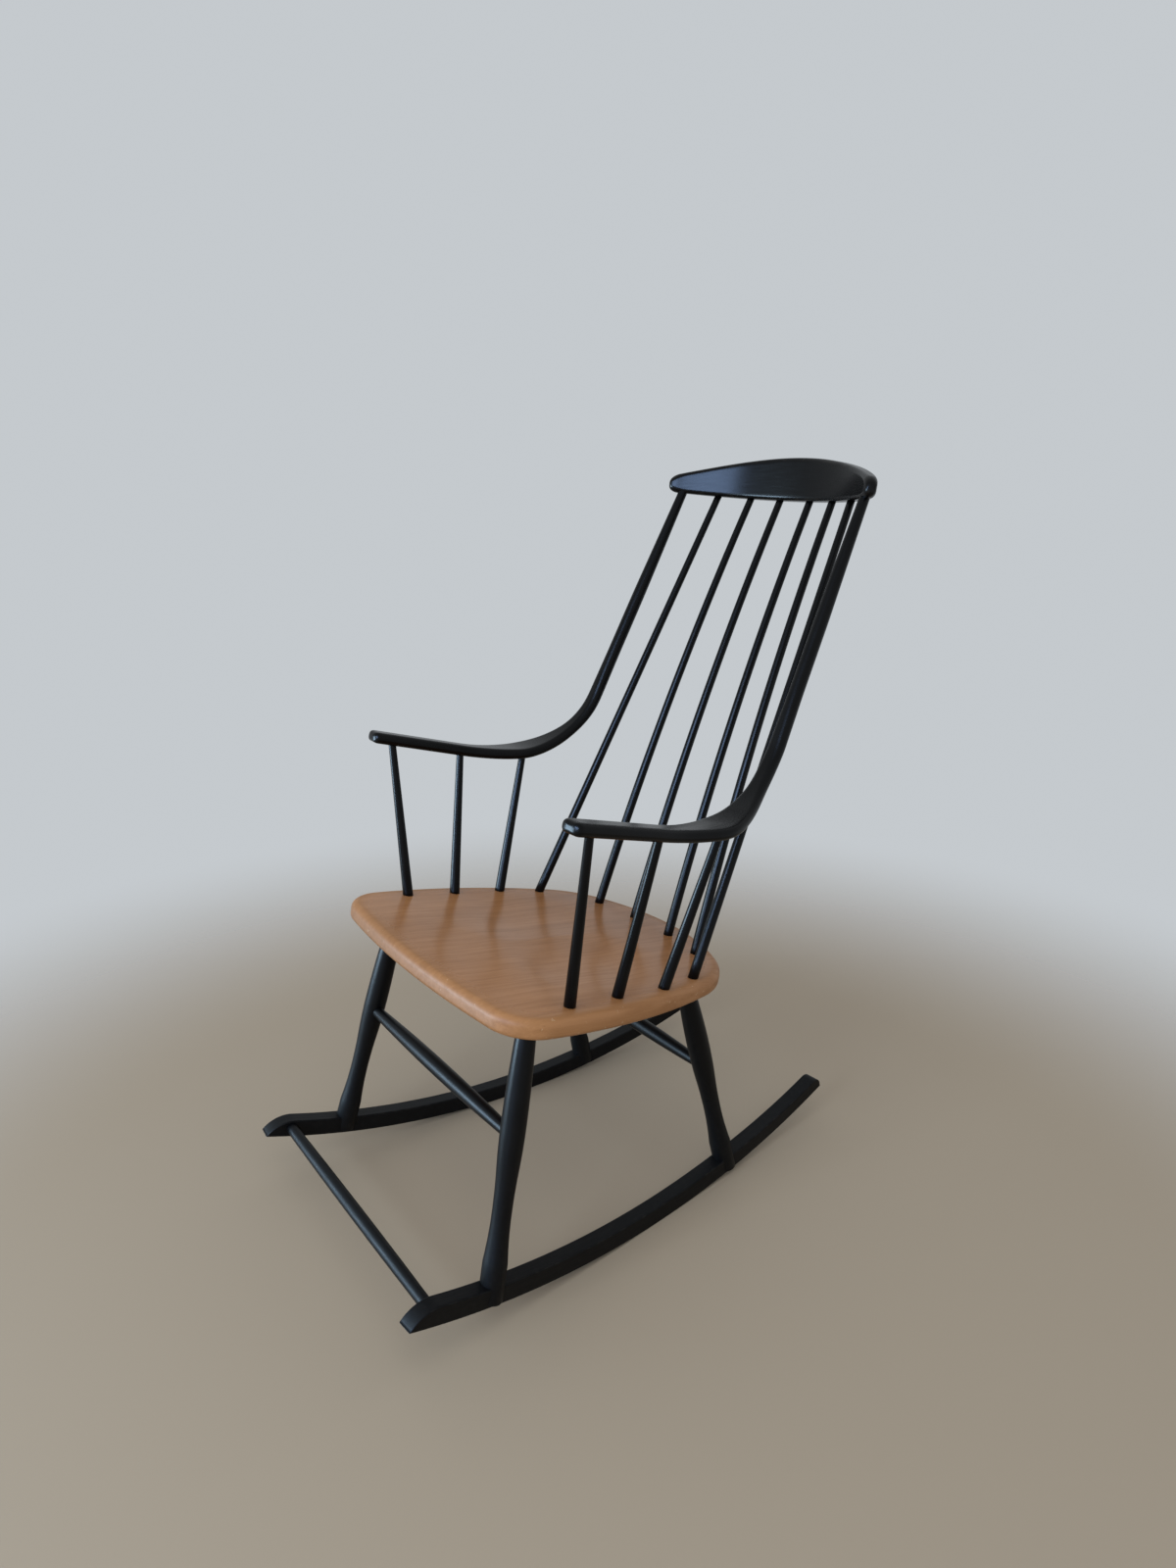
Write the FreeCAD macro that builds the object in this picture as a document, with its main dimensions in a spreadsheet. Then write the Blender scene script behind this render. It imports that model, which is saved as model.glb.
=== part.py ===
import FreeCAD, Part
import math
import os
from types import SimpleNamespace

import Sketcher
from FreeCAD import Placement, Rotation, Vector

# Spindle-back rocking chair, in millimetres and degrees.
# Z is up, the sitter faces -Y and left means the sitter's left, +X.
# The origin is on the floor, midway between the rockers, where their arcs touch it.

SIZES = {
    # Rockers: bottom arc, section, reach before and behind the touching point, stance
    "rocker_radius": 1252.0,
    "rocker_depth": 27.0,
    "rocker_thickness": 24.5,
    "rocker_front": 450.0,
    "rocker_back": 378.0,
    "rocker_spread": 401.4,
    "rocker_toe_in": 4.65,
    "rocker_nose": 40.0,
    "rocker_heel_round": 16.0,
    "rocker_edge_round": 2.0,
    # Seat board: top plane, outline, corner and edge rounding, two shallow hollows
    "seat_height": 389.0,
    "seat_tilt": 11.25,
    "seat_thickness": 27.5,
    "seat_front": 306.5,
    "seat_back": 194.5,
    "seat_width": 495.4,
    "seat_widest": 96.0,
    "seat_front_bow": 21.7,
    "seat_front_pinch": 1.4,
    "seat_back_bow": 74.5,
    "seat_back_pinch": 53.0,
    "seat_front_corner": 65.0,
    "seat_back_corner": 142.0,
    "seat_top_round": 11.0,
    "seat_bottom_round": 8.0,
    "hollow_length": 250.0,
    "hollow_depth": 4.0,
    "hollow_spread": 190.0,
    "hollow_forward": 60.0,
    # Legs: one turning, shared by the four, measured up from the rocker's middle line
    "leg_foot_diameter": 33.6,
    "leg_foot_height": 40.0,
    "leg_waist_diameter": 26.4,
    "leg_waist_height": 106.0,
    "leg_swell_diameter": 34.0,
    "leg_swell_height": 224.0,
    "leg_top_diameter": 24.6,
    "leg_tenon": 15.0,
    "leg_foot_clear": 1.5,
    "front_leg_foot": 319.0,
    "front_leg_inset": 62.7,
    "front_leg_top": 222.5,
    "rear_leg_foot": 141.0,
    "rear_leg_inset": 80.0,
    "rear_leg_top": 72.5,
    "pin_diameter": 8.0,
    "pin_recess": 0.6,
    # Stretchers between the legs, and the foot bar between the rockers
    "front_stretcher_height": 256.0,
    "rear_stretcher_height": 206.0,
    "stretcher_swell": 24.0,
    "stretcher_end": 17.0,
    "stretcher_tenon": 13.0,
    "foot_bar_reach": 409.5,
    "foot_bar_swell": 19.0,
    "foot_bar_end": 16.5,
    "foot_bar_tenon": 12.0,
    # Arm posts: an arm that bends up into a back post, carried by one curve
    "arm_tip_spread": 519.0,
    "arm_tip_forward": 211.0,
    "arm_tip_height": 685.5,
    "arm_pitch": 16.5,
    "arm_toe_in": 3.65,
    "arm_width": 35.0,
    "arm_thickness": 17.5,
    "arm_nose": 12.0,
    "ease_radius": 489.0,
    "ease_turn": 11.1,
    "bend_radius": 160.0,
    "shoulder_width": 58.0,
    "bend_width": 29.0,
    "bend_thickness": 17.0,
    "post_lean": 27.6,
    "post_flare": 2.9,
    "post_low_diameter": 21.1,
    "post_middle_diameter": 20.6,
    "post_top_diameter": 15.0,
    "post_tenon_diameter": 10.0,
    "post_tenon": 14.0,
    # Arm spindles: feet on the seat, tops along the arm from its tip
    "arm_spindle_foot": 16.4,
    "arm_spindle_top": 11.4,
    "arm_spindle_seat_tenon": 16.0,
    "arm_spindle_arm_tenon": 10.0,
    "front_arm_spindle_inset": 26.9,
    "front_arm_spindle_at": 187.0,
    "front_arm_spindle_along": 35.0,
    "middle_arm_spindle_inset": 31.8,
    "middle_arm_spindle_at": 103.4,
    "middle_arm_spindle_along": 157.0,
    "rear_arm_spindle_inset": 35.2,
    "rear_arm_spindle_at": 16.7,
    "rear_arm_spindle_along": 276.0,
    # Back spindles: feet on the seat, tops under the crest rail
    "back_spindle_foot": 15.0,
    "back_spindle_top": 11.4,
    "back_spindle_seat_tenon": 16.0,
    "back_spindle_crest_tenon": 22.0,
    "back_spindle_bow": 13.5,
    "outer_back_spindle_foot_x": 196.1,
    "outer_back_spindle_foot_y": 54.8,
    "outer_back_spindle_top_x": 140.8,
    "middle_back_spindle_foot_x": 120.9,
    "middle_back_spindle_foot_y": 130.0,
    "middle_back_spindle_top_x": 86.4,
    "inner_back_spindle_foot_x": 42.4,
    "inner_back_spindle_foot_y": 144.4,
    "inner_back_spindle_top_x": 31.5,
    # Crest rail: a bowed, arched board leaning back
    "crest_height": 1026.5,
    "crest_back": 432.6,
    "crest_lean": 8.5,
    "crest_bow_radius": 294.0,
    "crest_thickness": 26.0,
    "crest_length": 420.0,
    "crest_rise": 67.0,
    "crest_end_rise": 27.0,
    "crest_end_round": 8.0,
    "crest_edge_round": 6.5,
    "crest_post_spread": 384.6,
    # Glue line round every tenon and spare depth under it
    "fit_gap": 0.15,
    "socket_spare": 0.5,
}

SIDES = {"left": 1, "right": -1}
# Arm post: cross-sections along it, corner rounding as a share of thickness, and how its nose slims
ARM_SECTIONS = 18
CORNER_SHARE = 0.44
NOSE_STEPS = [(0.0, 1.0), (0.3, 0.4), (1.0, 0.0)]
NOSE_WIDTH_LOSS = 0.22
NOSE_THICKNESS_LOSS = 0.4
# Arm post: where its easy arc starts to widen, and where its bend is widest, narrow and done closing in
WIDENING_SHARE = 0.3
SHOULDER_SHARE = 0.1
NARROW_SHARE = 0.6
CLOSING_SHARE = 0.9
# Arm post: shares of its straight post where its low and middle diameters are
POST_LOW_SHARE = 0.2
POST_MIDDLE_SHARE = 0.5
# Crest rail: at its ends, how far in from the end, and what share of the height and thickness is left
CREST_END_STEPS = [(0.0, 0.45, 0.6), (0.25, 0.8, 0.88), (1.0, 1.0, 1.0)]
CREST_MIDDLE_STEPS = [2 / 3, 1 / 3, 0.0]
# Bent spindles: cross-sections along each
SPINDLE_SECTIONS = 8
# A seat edge stands upright if its direction's upward share is above this
UPRIGHT = 0.9
UP = Vector(0, 0, 1)
FORWARD = Vector(0, -1, 0)

doc = FreeCAD.newDocument("RockingChair")
sheet = doc.addObject("Spreadsheet::Sheet", "Sizes")
for row, (alias, number) in enumerate(SIZES.items(), start=1):
    sheet.set(f"A{row}", alias)
    sheet.set(f"B{row}", str(number))
    sheet.setAlias(f"B{row}", alias)
doc.recompute()


class Size:
    """A number of the sheet, or a sum of them, with the expression that gives it."""

    def __init__(self, value, text):
        self.value = value
        self.text = text

    def joined(self, other, sign, value):
        other_text = other.text if isinstance(other, Size) else str(other)
        return Size(value, f"({self.text} {sign} {other_text})")

    def __add__(self, other):
        return self.joined(other, "+", self.value + plain(other))

    def __sub__(self, other):
        return self.joined(other, "-", self.value - plain(other))

    def __mul__(self, other):
        return self.joined(other, "*", self.value * plain(other))

    def __truediv__(self, other):
        return self.joined(other, "/", self.value / plain(other))


def plain(size):
    """The number behind a size."""
    return size.value if isinstance(size, Size) else size


def fixed(value):
    """A length that follows from places in space, worked out here from the sheet."""
    return Size(value, repr(value))


mm = SimpleNamespace(**{name: float(sheet.get(name)) for name in SIZES})
cell = SimpleNamespace(**{name: Size(float(sheet.get(name)), f"Sizes.{name}") for name in SIZES})
nodes = {}


def keep(node, shape_object):
    """Name a finished piece."""
    shape_object.Label = node
    nodes[node] = shape_object
    return shape_object


def bind(target, prop, size):
    """Tie a property to the sheet."""
    target.setExpression(prop, size.text)


def along(start, end):
    """Placement that stands a piece's own Z axis on the line from start to end."""
    return Placement(start, Rotation(UP, end - start))


def new_sketch(body, name, plane, offset=None):
    """A sketch on one of the body's own origin planes, moved by offset if given."""
    sketch = body.newObject("Sketcher::SketchObject", name)
    origin_plane = next(f for f in body.Origin.OriginFeatures if f.Role == plane)
    sketch.AttachmentSupport = (origin_plane, "")
    sketch.MapMode = "FlatFace"
    if offset is not None:
        sketch.AttachmentOffset = offset
    return sketch


def dimension(sketch, kind, refs, size):
    """A driving dimension of a sketch, tied to the sheet."""
    index = sketch.addConstraint(Sketcher.Constraint(kind, *refs, size.value))
    bind(sketch, f"Constraints[{index}]", size)


def set_point(sketch, geometry, end, across, up):
    """Hold a sketch point at a distance across and up from the sketch's origin."""
    for kind, size, axis in (("DistanceX", across, -2), ("DistanceY", up, -1)):
        if size.value == 0:
            sketch.addConstraint(Sketcher.Constraint("PointOnObject", geometry, end, axis))
        elif size.value > 0:
            dimension(sketch, kind, (-1, 1, geometry, end), size)
        else:
            dimension(sketch, kind, (geometry, end, -1, 1), size * -1)


def level_arc(start, end, centre_height):
    """Arc between two points of a turning whose centre is level with one of them."""
    middle = (start + end) / 2
    slope = (end.x - start.x) / (end.y - start.y)
    centre = Vector(middle.x + (middle.y - centre_height) / slope, centre_height, 0)
    radius = (start - centre).Length
    angles = [math.atan2(p.y - centre.y, p.x - centre.x) for p in (start, end)]
    outward = (start + end).x / 2 > centre.x
    if not outward:
        angles = [a % (2 * math.pi) for a in reversed(angles)]
    circle = Part.Circle(centre, Vector(0, 0, 1), radius)
    return Part.ArcOfCircle(circle, angles[0], angles[1]), not outward


def turned(name, outline, place):
    """Body turned about its own Z axis.

    outline holds (radius, height, edge) from the bottom to the top of the turning.
    edge is the curve up to the next point: a line, or an arc that runs along the
    axis at its start or at its end.
    """
    body = doc.addObject("PartDesign::Body", name)
    sketch = new_sketch(body, f"{name}_outline", "XZ_Plane")
    zero = fixed(0.0)
    outline = [(zero, outline[0][1], "line"), *outline, (zero, outline[-1][1], "line")]
    points = [Vector(radius.value, height.value, 0) for radius, height, _ in outline]
    ends = []
    for i, (_, _, edge) in enumerate(outline):
        following = (i + 1) % len(outline)
        start, end = points[i], points[following]
        if edge == "line":
            index = sketch.addGeometry(Part.LineSegment(start, end))
            ends.append((index, 1, 2))
            continue
        flat_end = i if edge == "arc_from" else following
        arc, backward = level_arc(start, end, points[flat_end].y)
        index = sketch.addGeometry(arc)
        ends.append((index, 2, 1) if backward else (index, 1, 2))
        flat_side = ends[-1][1] if edge == "arc_from" else ends[-1][2]
        sketch.addConstraint(Sketcher.Constraint("Horizontal", index, 3, index, flat_side))
    for i, (radius, height, _) in enumerate(outline):
        geometry, first, _ = ends[i]
        before, _, last = ends[i - 1]
        sketch.addConstraint(Sketcher.Constraint("Coincident", before, last, geometry, first))
        set_point(sketch, geometry, first, radius, height)
    turning = body.newObject("PartDesign::Revolution", f"{name}_turning")
    turning.Profile = sketch
    turning.ReferenceAxis = (sketch, ["V_Axis"])
    turning.Angle = 360
    body.Placement = place
    return body


def drill(name, radius, depth, place):
    """Round hole to cut: a cylinder that starts at place and runs along its Z axis."""
    hole = doc.addObject("Part::Cylinder", name)
    bind(hole, "Radius", radius)
    bind(hole, "Height", depth)
    hole.Placement = place
    return hole


def cut_from(name, base, tools):
    """The base piece less all the tools."""
    joined = doc.addObject("Part::MultiFuse", f"{name}_cuts")
    joined.Shapes = tools
    result = doc.addObject("Part::Cut", f"{name}_cut")
    result.Base = base
    result.Tool = joined
    return result


def mirrored(name, source):
    """The same piece on the other side of the chair."""
    twin = doc.addObject("Part::Mirroring", name)
    twin.Source = source
    twin.Normal = Vector(1, 0, 0)
    return twin


def edges_where(shape, test):
    """Names of the edges of a shape that pass a test on the edge."""
    return [f"Edge{i}" for i, edge in enumerate(shape.Edges, start=1) if test(edge)]


# Places in space

def seat_point(across, backward, above=0.0):
    """Point of the seat's own frame: across, down the slope to the back, above the top plane."""
    tilt = math.radians(mm.seat_tilt)
    return Vector(
        across,
        backward * math.cos(tilt) + above * math.sin(tilt),
        mm.seat_height - backward * math.sin(tilt) + above * math.cos(tilt),
    )


def rocker_frame(side):
    """Placement of a rocker: its own Y runs back along it, turned in towards the back."""
    return Placement(Vector(side * mm.rocker_spread / 2, 0, 0), Rotation(UP, side * mm.rocker_toe_in))


def rocker_point(side, backward):
    """Point on the middle line of a rocker at a distance back along it."""
    radius = mm.rocker_radius - mm.rocker_depth / 2
    height = mm.rocker_radius - math.sqrt(radius ** 2 - backward ** 2)
    return rocker_frame(side).multVec(Vector(0, backward, height))


CREST_PLACE = Placement(Vector(0, mm.crest_back, mm.crest_height), Rotation(Vector(1, 0, 0), -mm.crest_lean))


def crest_point(across, above=0.0):
    """Point of the crest rail's bowed middle surface, above its bottom edge."""
    bow = mm.crest_bow_radius - math.sqrt(mm.crest_bow_radius ** 2 - across ** 2)
    return CREST_PLACE.multVec(Vector(across, -bow, above))


def swing(radius, start, end):
    """How far back and up an arc carries, from one angle of climb to another."""
    back = radius * (math.sin(end) - math.sin(start))
    up = radius * (math.cos(start) - math.cos(end))
    return Vector(0, back, up)


def arm_curve():
    """Side view of an arm post: straight arm, easy arc, tighter bend and straight post."""
    start = -math.radians(mm.arm_pitch)
    eased = start + math.radians(mm.ease_turn)
    climb = math.radians(90 - mm.post_lean)
    tip = Vector(0, -mm.arm_tip_forward, mm.arm_tip_height)
    top = crest_point(mm.crest_post_spread / 2)
    arcs = swing(mm.ease_radius, start, eased) + swing(mm.bend_radius, eased, climb)
    reach = Vector(0, top.y - tip.y, top.z - tip.z) - arcs
    spread = math.sin(climb - start)
    return SimpleNamespace(
        tip=tip,
        start=start,
        eased=eased,
        arm=(reach.y * math.sin(climb) - reach.z * math.cos(climb)) / spread,
        ease=mm.ease_radius * (eased - start),
        bend=mm.bend_radius * (climb - eased),
        post=(reach.z * math.cos(start) - reach.y * math.sin(start)) / spread,
    )


CURVE = arm_curve()
BEND_START = CURVE.arm + CURVE.ease
POST_START = BEND_START + CURVE.bend
ARM_LENGTH = POST_START + CURVE.post


def arm_side_view(distance):
    """Point of the arm post's side view and the angle it climbs at, by distance from the tip."""
    straight = min(distance, CURVE.arm)
    eased = CURVE.start + min(max(distance - CURVE.arm, 0), CURVE.ease) / mm.ease_radius
    climb = eased + min(max(distance - BEND_START, 0), CURVE.bend) / mm.bend_radius
    rest = max(distance - POST_START, 0)
    point = CURVE.tip + Vector(0, math.cos(CURVE.start), math.sin(CURVE.start)) * straight
    point += swing(mm.ease_radius, CURVE.start, eased) + swing(mm.bend_radius, eased, climb)
    point += Vector(0, math.cos(climb), math.sin(climb)) * rest
    return point.y, point.z, climb


def arm_point(distance):
    """Point on the left arm post's centre line by distance from the arm's tip."""
    y, z, _ = arm_side_view(distance)
    arm_x = mm.arm_tip_spread / 2 - distance * math.sin(math.radians(mm.arm_toe_in))
    post_x = mm.crest_post_spread / 2 + (ARM_LENGTH - distance) * math.sin(math.radians(mm.post_flare))
    blend = min(max((distance - BEND_START) / (CURVE.bend * CLOSING_SHARE), 0), 1)
    blend = blend * blend * (3 - 2 * blend)
    return Vector(arm_x + blend * (post_x - arm_x), y, z)


def arm_frame(distance):
    """Placement of a cross-section of the left arm post: X across the arm, Y up through it."""
    step = 1.0
    here = arm_point(distance)
    way = (arm_point(distance + step) - arm_point(distance - step)).normalize()
    _, _, climb = arm_side_view(distance)
    up = Vector(0, -math.sin(climb), math.cos(climb))
    across = way.cross(up).normalize() * -1
    up = across.cross(way).normalize() * -1
    return Placement(here, Rotation(across, up, across.cross(up), "XYZ"))


def point_on(start, end, height):
    """Point of a straight line at a height above the floor."""
    return start + (end - start) * ((height - start.z) / (end.z - start.z))


# Rockers

def rocker_blank(name, place):
    """Board sawn to two concentric arcs, with a rounded nose and heel."""
    body = doc.addObject("PartDesign::Body", f"{name}_blank")
    sketch = new_sketch(body, f"{name}_side", "YZ_Plane")
    outer, inner = mm.rocker_radius, mm.rocker_radius - mm.rocker_depth
    centre = Vector(0, outer, 0)
    nose_start = -(mm.rocker_front - mm.rocker_nose)
    heel = Vector(mm.rocker_back, outer - math.sqrt(outer ** 2 - mm.rocker_back ** 2), 0)
    heel_top = centre + (heel - centre) * (inner / outer)
    tip = Vector(-mm.rocker_front, outer - math.sqrt(outer ** 2 - mm.rocker_front ** 2), 0)
    nose = Vector(nose_start, outer - math.sqrt(inner ** 2 - nose_start ** 2), 0)

    def angle(p, c):
        return math.atan2(p.y - c.y, p.x - c.x)

    bottom = sketch.addGeometry(
        Part.ArcOfCircle(Part.Circle(centre, UP, outer), angle(tip, centre), angle(heel, centre)))
    top = sketch.addGeometry(
        Part.ArcOfCircle(Part.Circle(centre, UP, inner), angle(nose, centre), angle(heel_top, centre)))
    inward = (centre - nose).normalize()
    chord = tip - nose
    nose_radius = -chord.dot(chord) / (2 * chord.dot(inward))
    nose_centre = nose - inward * nose_radius
    front = sketch.addGeometry(Part.ArcOfCircle(
        Part.Circle(nose_centre, UP, nose_radius), angle(nose, nose_centre), angle(tip, nose_centre)))
    back = sketch.addGeometry(Part.LineSegment(heel, heel_top))
    for constraint in (
        ("Coincident", bottom, 3, top, 3),
        ("PointOnObject", bottom, 3, -2),
        ("Tangent", front, 1, top, 1),
        ("Coincident", front, 2, bottom, 1),
        ("Coincident", back, 1, bottom, 2),
        ("Coincident", back, 2, top, 2),
        ("PointOnObject", bottom, 3, back),
    ):
        sketch.addConstraint(Sketcher.Constraint(*constraint))
    dimension(sketch, "DistanceY", (-1, 1, bottom, 3), cell.rocker_radius)
    dimension(sketch, "Radius", (bottom,), cell.rocker_radius)
    dimension(sketch, "Radius", (top,), cell.rocker_radius - cell.rocker_depth)
    dimension(sketch, "DistanceX", (bottom, 1, -1, 1), cell.rocker_front)
    dimension(sketch, "DistanceX", (-1, 1, bottom, 2), cell.rocker_back)
    dimension(sketch, "DistanceX", (top, 1, -1, 1), cell.rocker_front - cell.rocker_nose)
    pad = body.newObject("PartDesign::Pad", f"{name}_board")
    pad.Profile = sketch
    pad.SideType = "Symmetric"
    bind(pad, "Length", cell.rocker_thickness)
    doc.recompute()
    heel_mid = heel_top.y
    heel_edges = edges_where(pad.Shape, lambda e: e.Curve.TypeId == "Part::GeomLine"
                             and abs(e.CenterOfMass.z - heel_mid) < mm.rocker_edge_round
                             and e.CenterOfMass.y > 0 and abs(e.CenterOfMass.x) < mm.rocker_edge_round)
    heel_round = body.newObject("PartDesign::Fillet", f"{name}_heel")
    heel_round.Base = (pad, heel_edges)
    bind(heel_round, "Radius", cell.rocker_heel_round)
    doc.recompute()
    every_edge = edges_where(heel_round.Shape, lambda e: True)
    softened = body.newObject("PartDesign::Fillet", f"{name}_edges")
    softened.Base = (heel_round, every_edge)
    bind(softened, "Radius", cell.rocker_edge_round)
    body.Placement = place
    return body


def rocker_ring(name, side, inner, outer, width):
    """Ring about the axis of a rocker's arc, to cut what the rocker passes through."""
    axis = rocker_frame(side).multiply(
        Placement(Vector(-width.value / 2, 0, mm.rocker_radius), Rotation(Vector(0, 1, 0), 90)))
    rim = drill(f"{name}_rim", outer, width, axis)
    core = drill(f"{name}_core", inner, width, axis)
    ring = doc.addObject("Part::Cut", f"{name}_ring")
    ring.Base = rim
    ring.Tool = core
    return ring


FOOT_BAR_ENDS = {s: rocker_point(s, -mm.foot_bar_reach) for s in (1, -1)}
LEG_FEET = {"front": -mm.front_leg_foot, "rear": mm.rear_leg_foot}
LEG_TOPS = {
    "front": (cell.front_leg_inset, -mm.front_leg_top),
    "rear": (cell.rear_leg_inset, mm.rear_leg_top),
}
STRETCHER_HEIGHTS = {"front": mm.front_stretcher_height, "rear": mm.rear_stretcher_height}


def leg_line(row, side):
    """Foot and top of a leg's axis: the rocker's middle line and the seat's underside."""
    inset, backward = LEG_TOPS[row]
    foot = rocker_point(side, LEG_FEET[row])
    top = seat_point(side * (mm.seat_width / 2 - inset.value), backward, -mm.seat_thickness)
    return foot, top


def pin_place(row, side, length):
    """Placement of a rocker pin, across the rocker at the foot of a leg."""
    foot = rocker_point(side, LEG_FEET[row])
    way = rocker_frame(side).Rotation.multVec(Vector(1, 0, 0))
    return along(foot - way * (length / 2), foot + way * (length / 2))


foot_radius = cell.leg_foot_diameter / 2
pin_radius = cell.pin_diameter / 2
pin_length = 2 * math.sqrt(foot_radius.value ** 2 - pin_radius.value ** 2) - 2 * mm.pin_recess

for side_name, side in SIDES.items():
    node = f"{side_name}_rocker"
    holes = []
    for row in LEG_FEET:
        pin_node = f"{side_name}_{row}_rocker_pin"
        place = pin_place(row, side, pin_length)
        keep(pin_node, drill(pin_node, pin_radius, fixed(pin_length), place))
        holes.append(drill(f"{pin_node}_hole", pin_radius + cell.fit_gap, fixed(pin_length), place))
    bar_end = FOOT_BAR_ENDS[side]
    inward = FOOT_BAR_ENDS[-side] - bar_end
    inward.normalize()
    face = bar_end + inward * (mm.rocker_thickness / 2)
    socket_depth = cell.foot_bar_tenon + cell.socket_spare
    outer_end = face - inward * socket_depth.value
    holes.append(drill(f"{node}_bar_socket", cell.foot_bar_end / 2 + cell.fit_gap,
                       socket_depth + cell.rocker_thickness, along(outer_end, face)))
    blank = rocker_blank(node, rocker_frame(side))
    keep(node, cut_from(node, blank, holes))

# Legs

def leg_outline(length):
    """Turned leg: straight foot, waist, swell and a taper into the seat socket."""
    waist, swell = cell.leg_waist_diameter / 2, cell.leg_swell_diameter / 2
    top = cell.leg_top_diameter / 2
    between = (cell.leg_waist_height + cell.leg_swell_height) / 2
    return [
        (foot_radius, cell.rocker_depth * -1, "line"),
        (foot_radius, cell.leg_foot_height, "arc_to"),
        (waist, cell.leg_waist_height, "arc_from"),
        ((waist + swell) / 2, between, "arc_to"),
        (swell, cell.leg_swell_height, "arc_from"),
        (top, fixed(length), "line"),
        (top, fixed(length) + cell.leg_tenon, "line"),
    ]


for row in LEG_FEET:
    for side_name, side in SIDES.items():
        node = f"{side_name}_{row}_leg"
        foot, top = leg_line(row, side)
        body = turned(f"{node}_turning", leg_outline((top - foot).Length), along(foot, top))
        slot_width = cell.rocker_thickness + cell.fit_gap * 2
        slot = rocker_ring(f"{node}_slot", side, cell.rocker_radius - cell.rocker_depth - cell.fit_gap,
                           cell.rocker_radius + cell.rocker_depth * 2, slot_width)
        trim = rocker_ring(f"{node}_trim", side, cell.rocker_radius - cell.leg_foot_clear,
                           cell.rocker_radius + cell.rocker_depth * 2, cell.leg_foot_diameter * 2)
        hole = drill(f"{node}_pin_hole", pin_radius + cell.fit_gap, cell.leg_foot_diameter,
                     pin_place(row, side, mm.leg_foot_diameter))
        height = STRETCHER_HEIGHTS[row]
        joint = point_on(foot, top, height)
        far = Vector(-joint.x, joint.y, joint.z)
        inward = (far - joint).normalize()
        depth = cell.stretcher_tenon + cell.socket_spare
        start = joint + inward * (mm.leg_swell_diameter / 2 - depth.value)
        mortise = drill(f"{node}_mortise", cell.stretcher_end / 2 + cell.fit_gap,
                        depth + cell.leg_swell_diameter, along(start, far))
        keep(node, cut_from(node, body, [slot, trim, hole, mortise]))

# Stretchers and foot bar

def bar_outline(length, end_radius, swell_radius, tenon):
    """Round bar that swells to its middle, with straight ends in the sockets."""
    return [
        (end_radius, fixed(0.0), "line"),
        (end_radius, tenon, "arc_to"),
        (swell_radius, fixed(length / 2), "arc_from"),
        (end_radius, fixed(length) - tenon, "line"),
        (end_radius, fixed(length), "line"),
    ]


for row, height in STRETCHER_HEIGHTS.items():
    node = f"{row}_stretcher"
    left = point_on(*leg_line(row, 1), height)
    inset = mm.leg_swell_diameter / 2 - mm.stretcher_tenon
    start = Vector(left.x - inset, left.y, left.z)
    end = Vector(-start.x, start.y, start.z)
    outline = bar_outline((end - start).Length, cell.stretcher_end / 2, cell.stretcher_swell / 2,
                          cell.stretcher_tenon)
    keep(node, turned(node, outline, along(start, end)))

bar_left = FOOT_BAR_ENDS[1]
bar_start = Vector(bar_left.x - mm.rocker_thickness / 2 + mm.foot_bar_tenon, bar_left.y, bar_left.z)
bar_end = Vector(-bar_start.x, bar_start.y, bar_start.z)
outline = bar_outline((bar_end - bar_start).Length, cell.foot_bar_end / 2, cell.foot_bar_swell / 2,
                      cell.foot_bar_tenon)
keep("foot_bar", turned("foot_bar", outline, along(bar_start, bar_end)))

# Arm posts

def rounded_section(body, name, frame, width, thickness, corner):
    """Rounded-rectangle section of a bent piece, centred on its frame."""
    sketch = new_sketch(body, name, "XY_Plane", frame)
    half_w, half_t, r = width.value / 2, thickness.value / 2, corner.value
    corners = [(half_w - r, half_t - r, 0), (r - half_w, half_t - r, 90),
               (r - half_w, r - half_t, 180), (half_w - r, r - half_t, 270)]
    arcs, lines = [], []
    for x, y, turn in corners:
        circle = Part.Circle(Vector(x, y, 0), UP, r)
        arcs.append(sketch.addGeometry(
            Part.ArcOfCircle(circle, math.radians(turn), math.radians(turn + 90))))
    for i in range(4):
        this, following = sketch.Geometry[arcs[i]], sketch.Geometry[arcs[(i + 1) % 4]]
        lines.append(sketch.addGeometry(Part.LineSegment(this.EndPoint, following.StartPoint)))
    for i in range(4):
        sketch.addConstraint(Sketcher.Constraint("Tangent", arcs[i], 2, lines[i], 1))
        sketch.addConstraint(Sketcher.Constraint("Tangent", lines[i], 2, arcs[(i + 1) % 4], 1))
        sketch.addConstraint(Sketcher.Constraint("Vertical" if i % 2 else "Horizontal", lines[i]))
    for arc in arcs[1:]:
        sketch.addConstraint(Sketcher.Constraint("Equal", arcs[0], arc))
    sketch.addConstraint(Sketcher.Constraint("Symmetric", arcs[0], 3, arcs[2], 3, -1, 1))
    dimension(sketch, "Radius", (arcs[0],), corner)
    dimension(sketch, "DistanceX", (arcs[1], 3, arcs[0], 3), width - corner * 2)
    dimension(sketch, "DistanceY", (arcs[3], 3, arcs[0], 3), thickness - corner * 2)
    return sketch


def mixed(first, second, share):
    """A size between two sizes."""
    return first * (1 - share) + second * share


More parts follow.
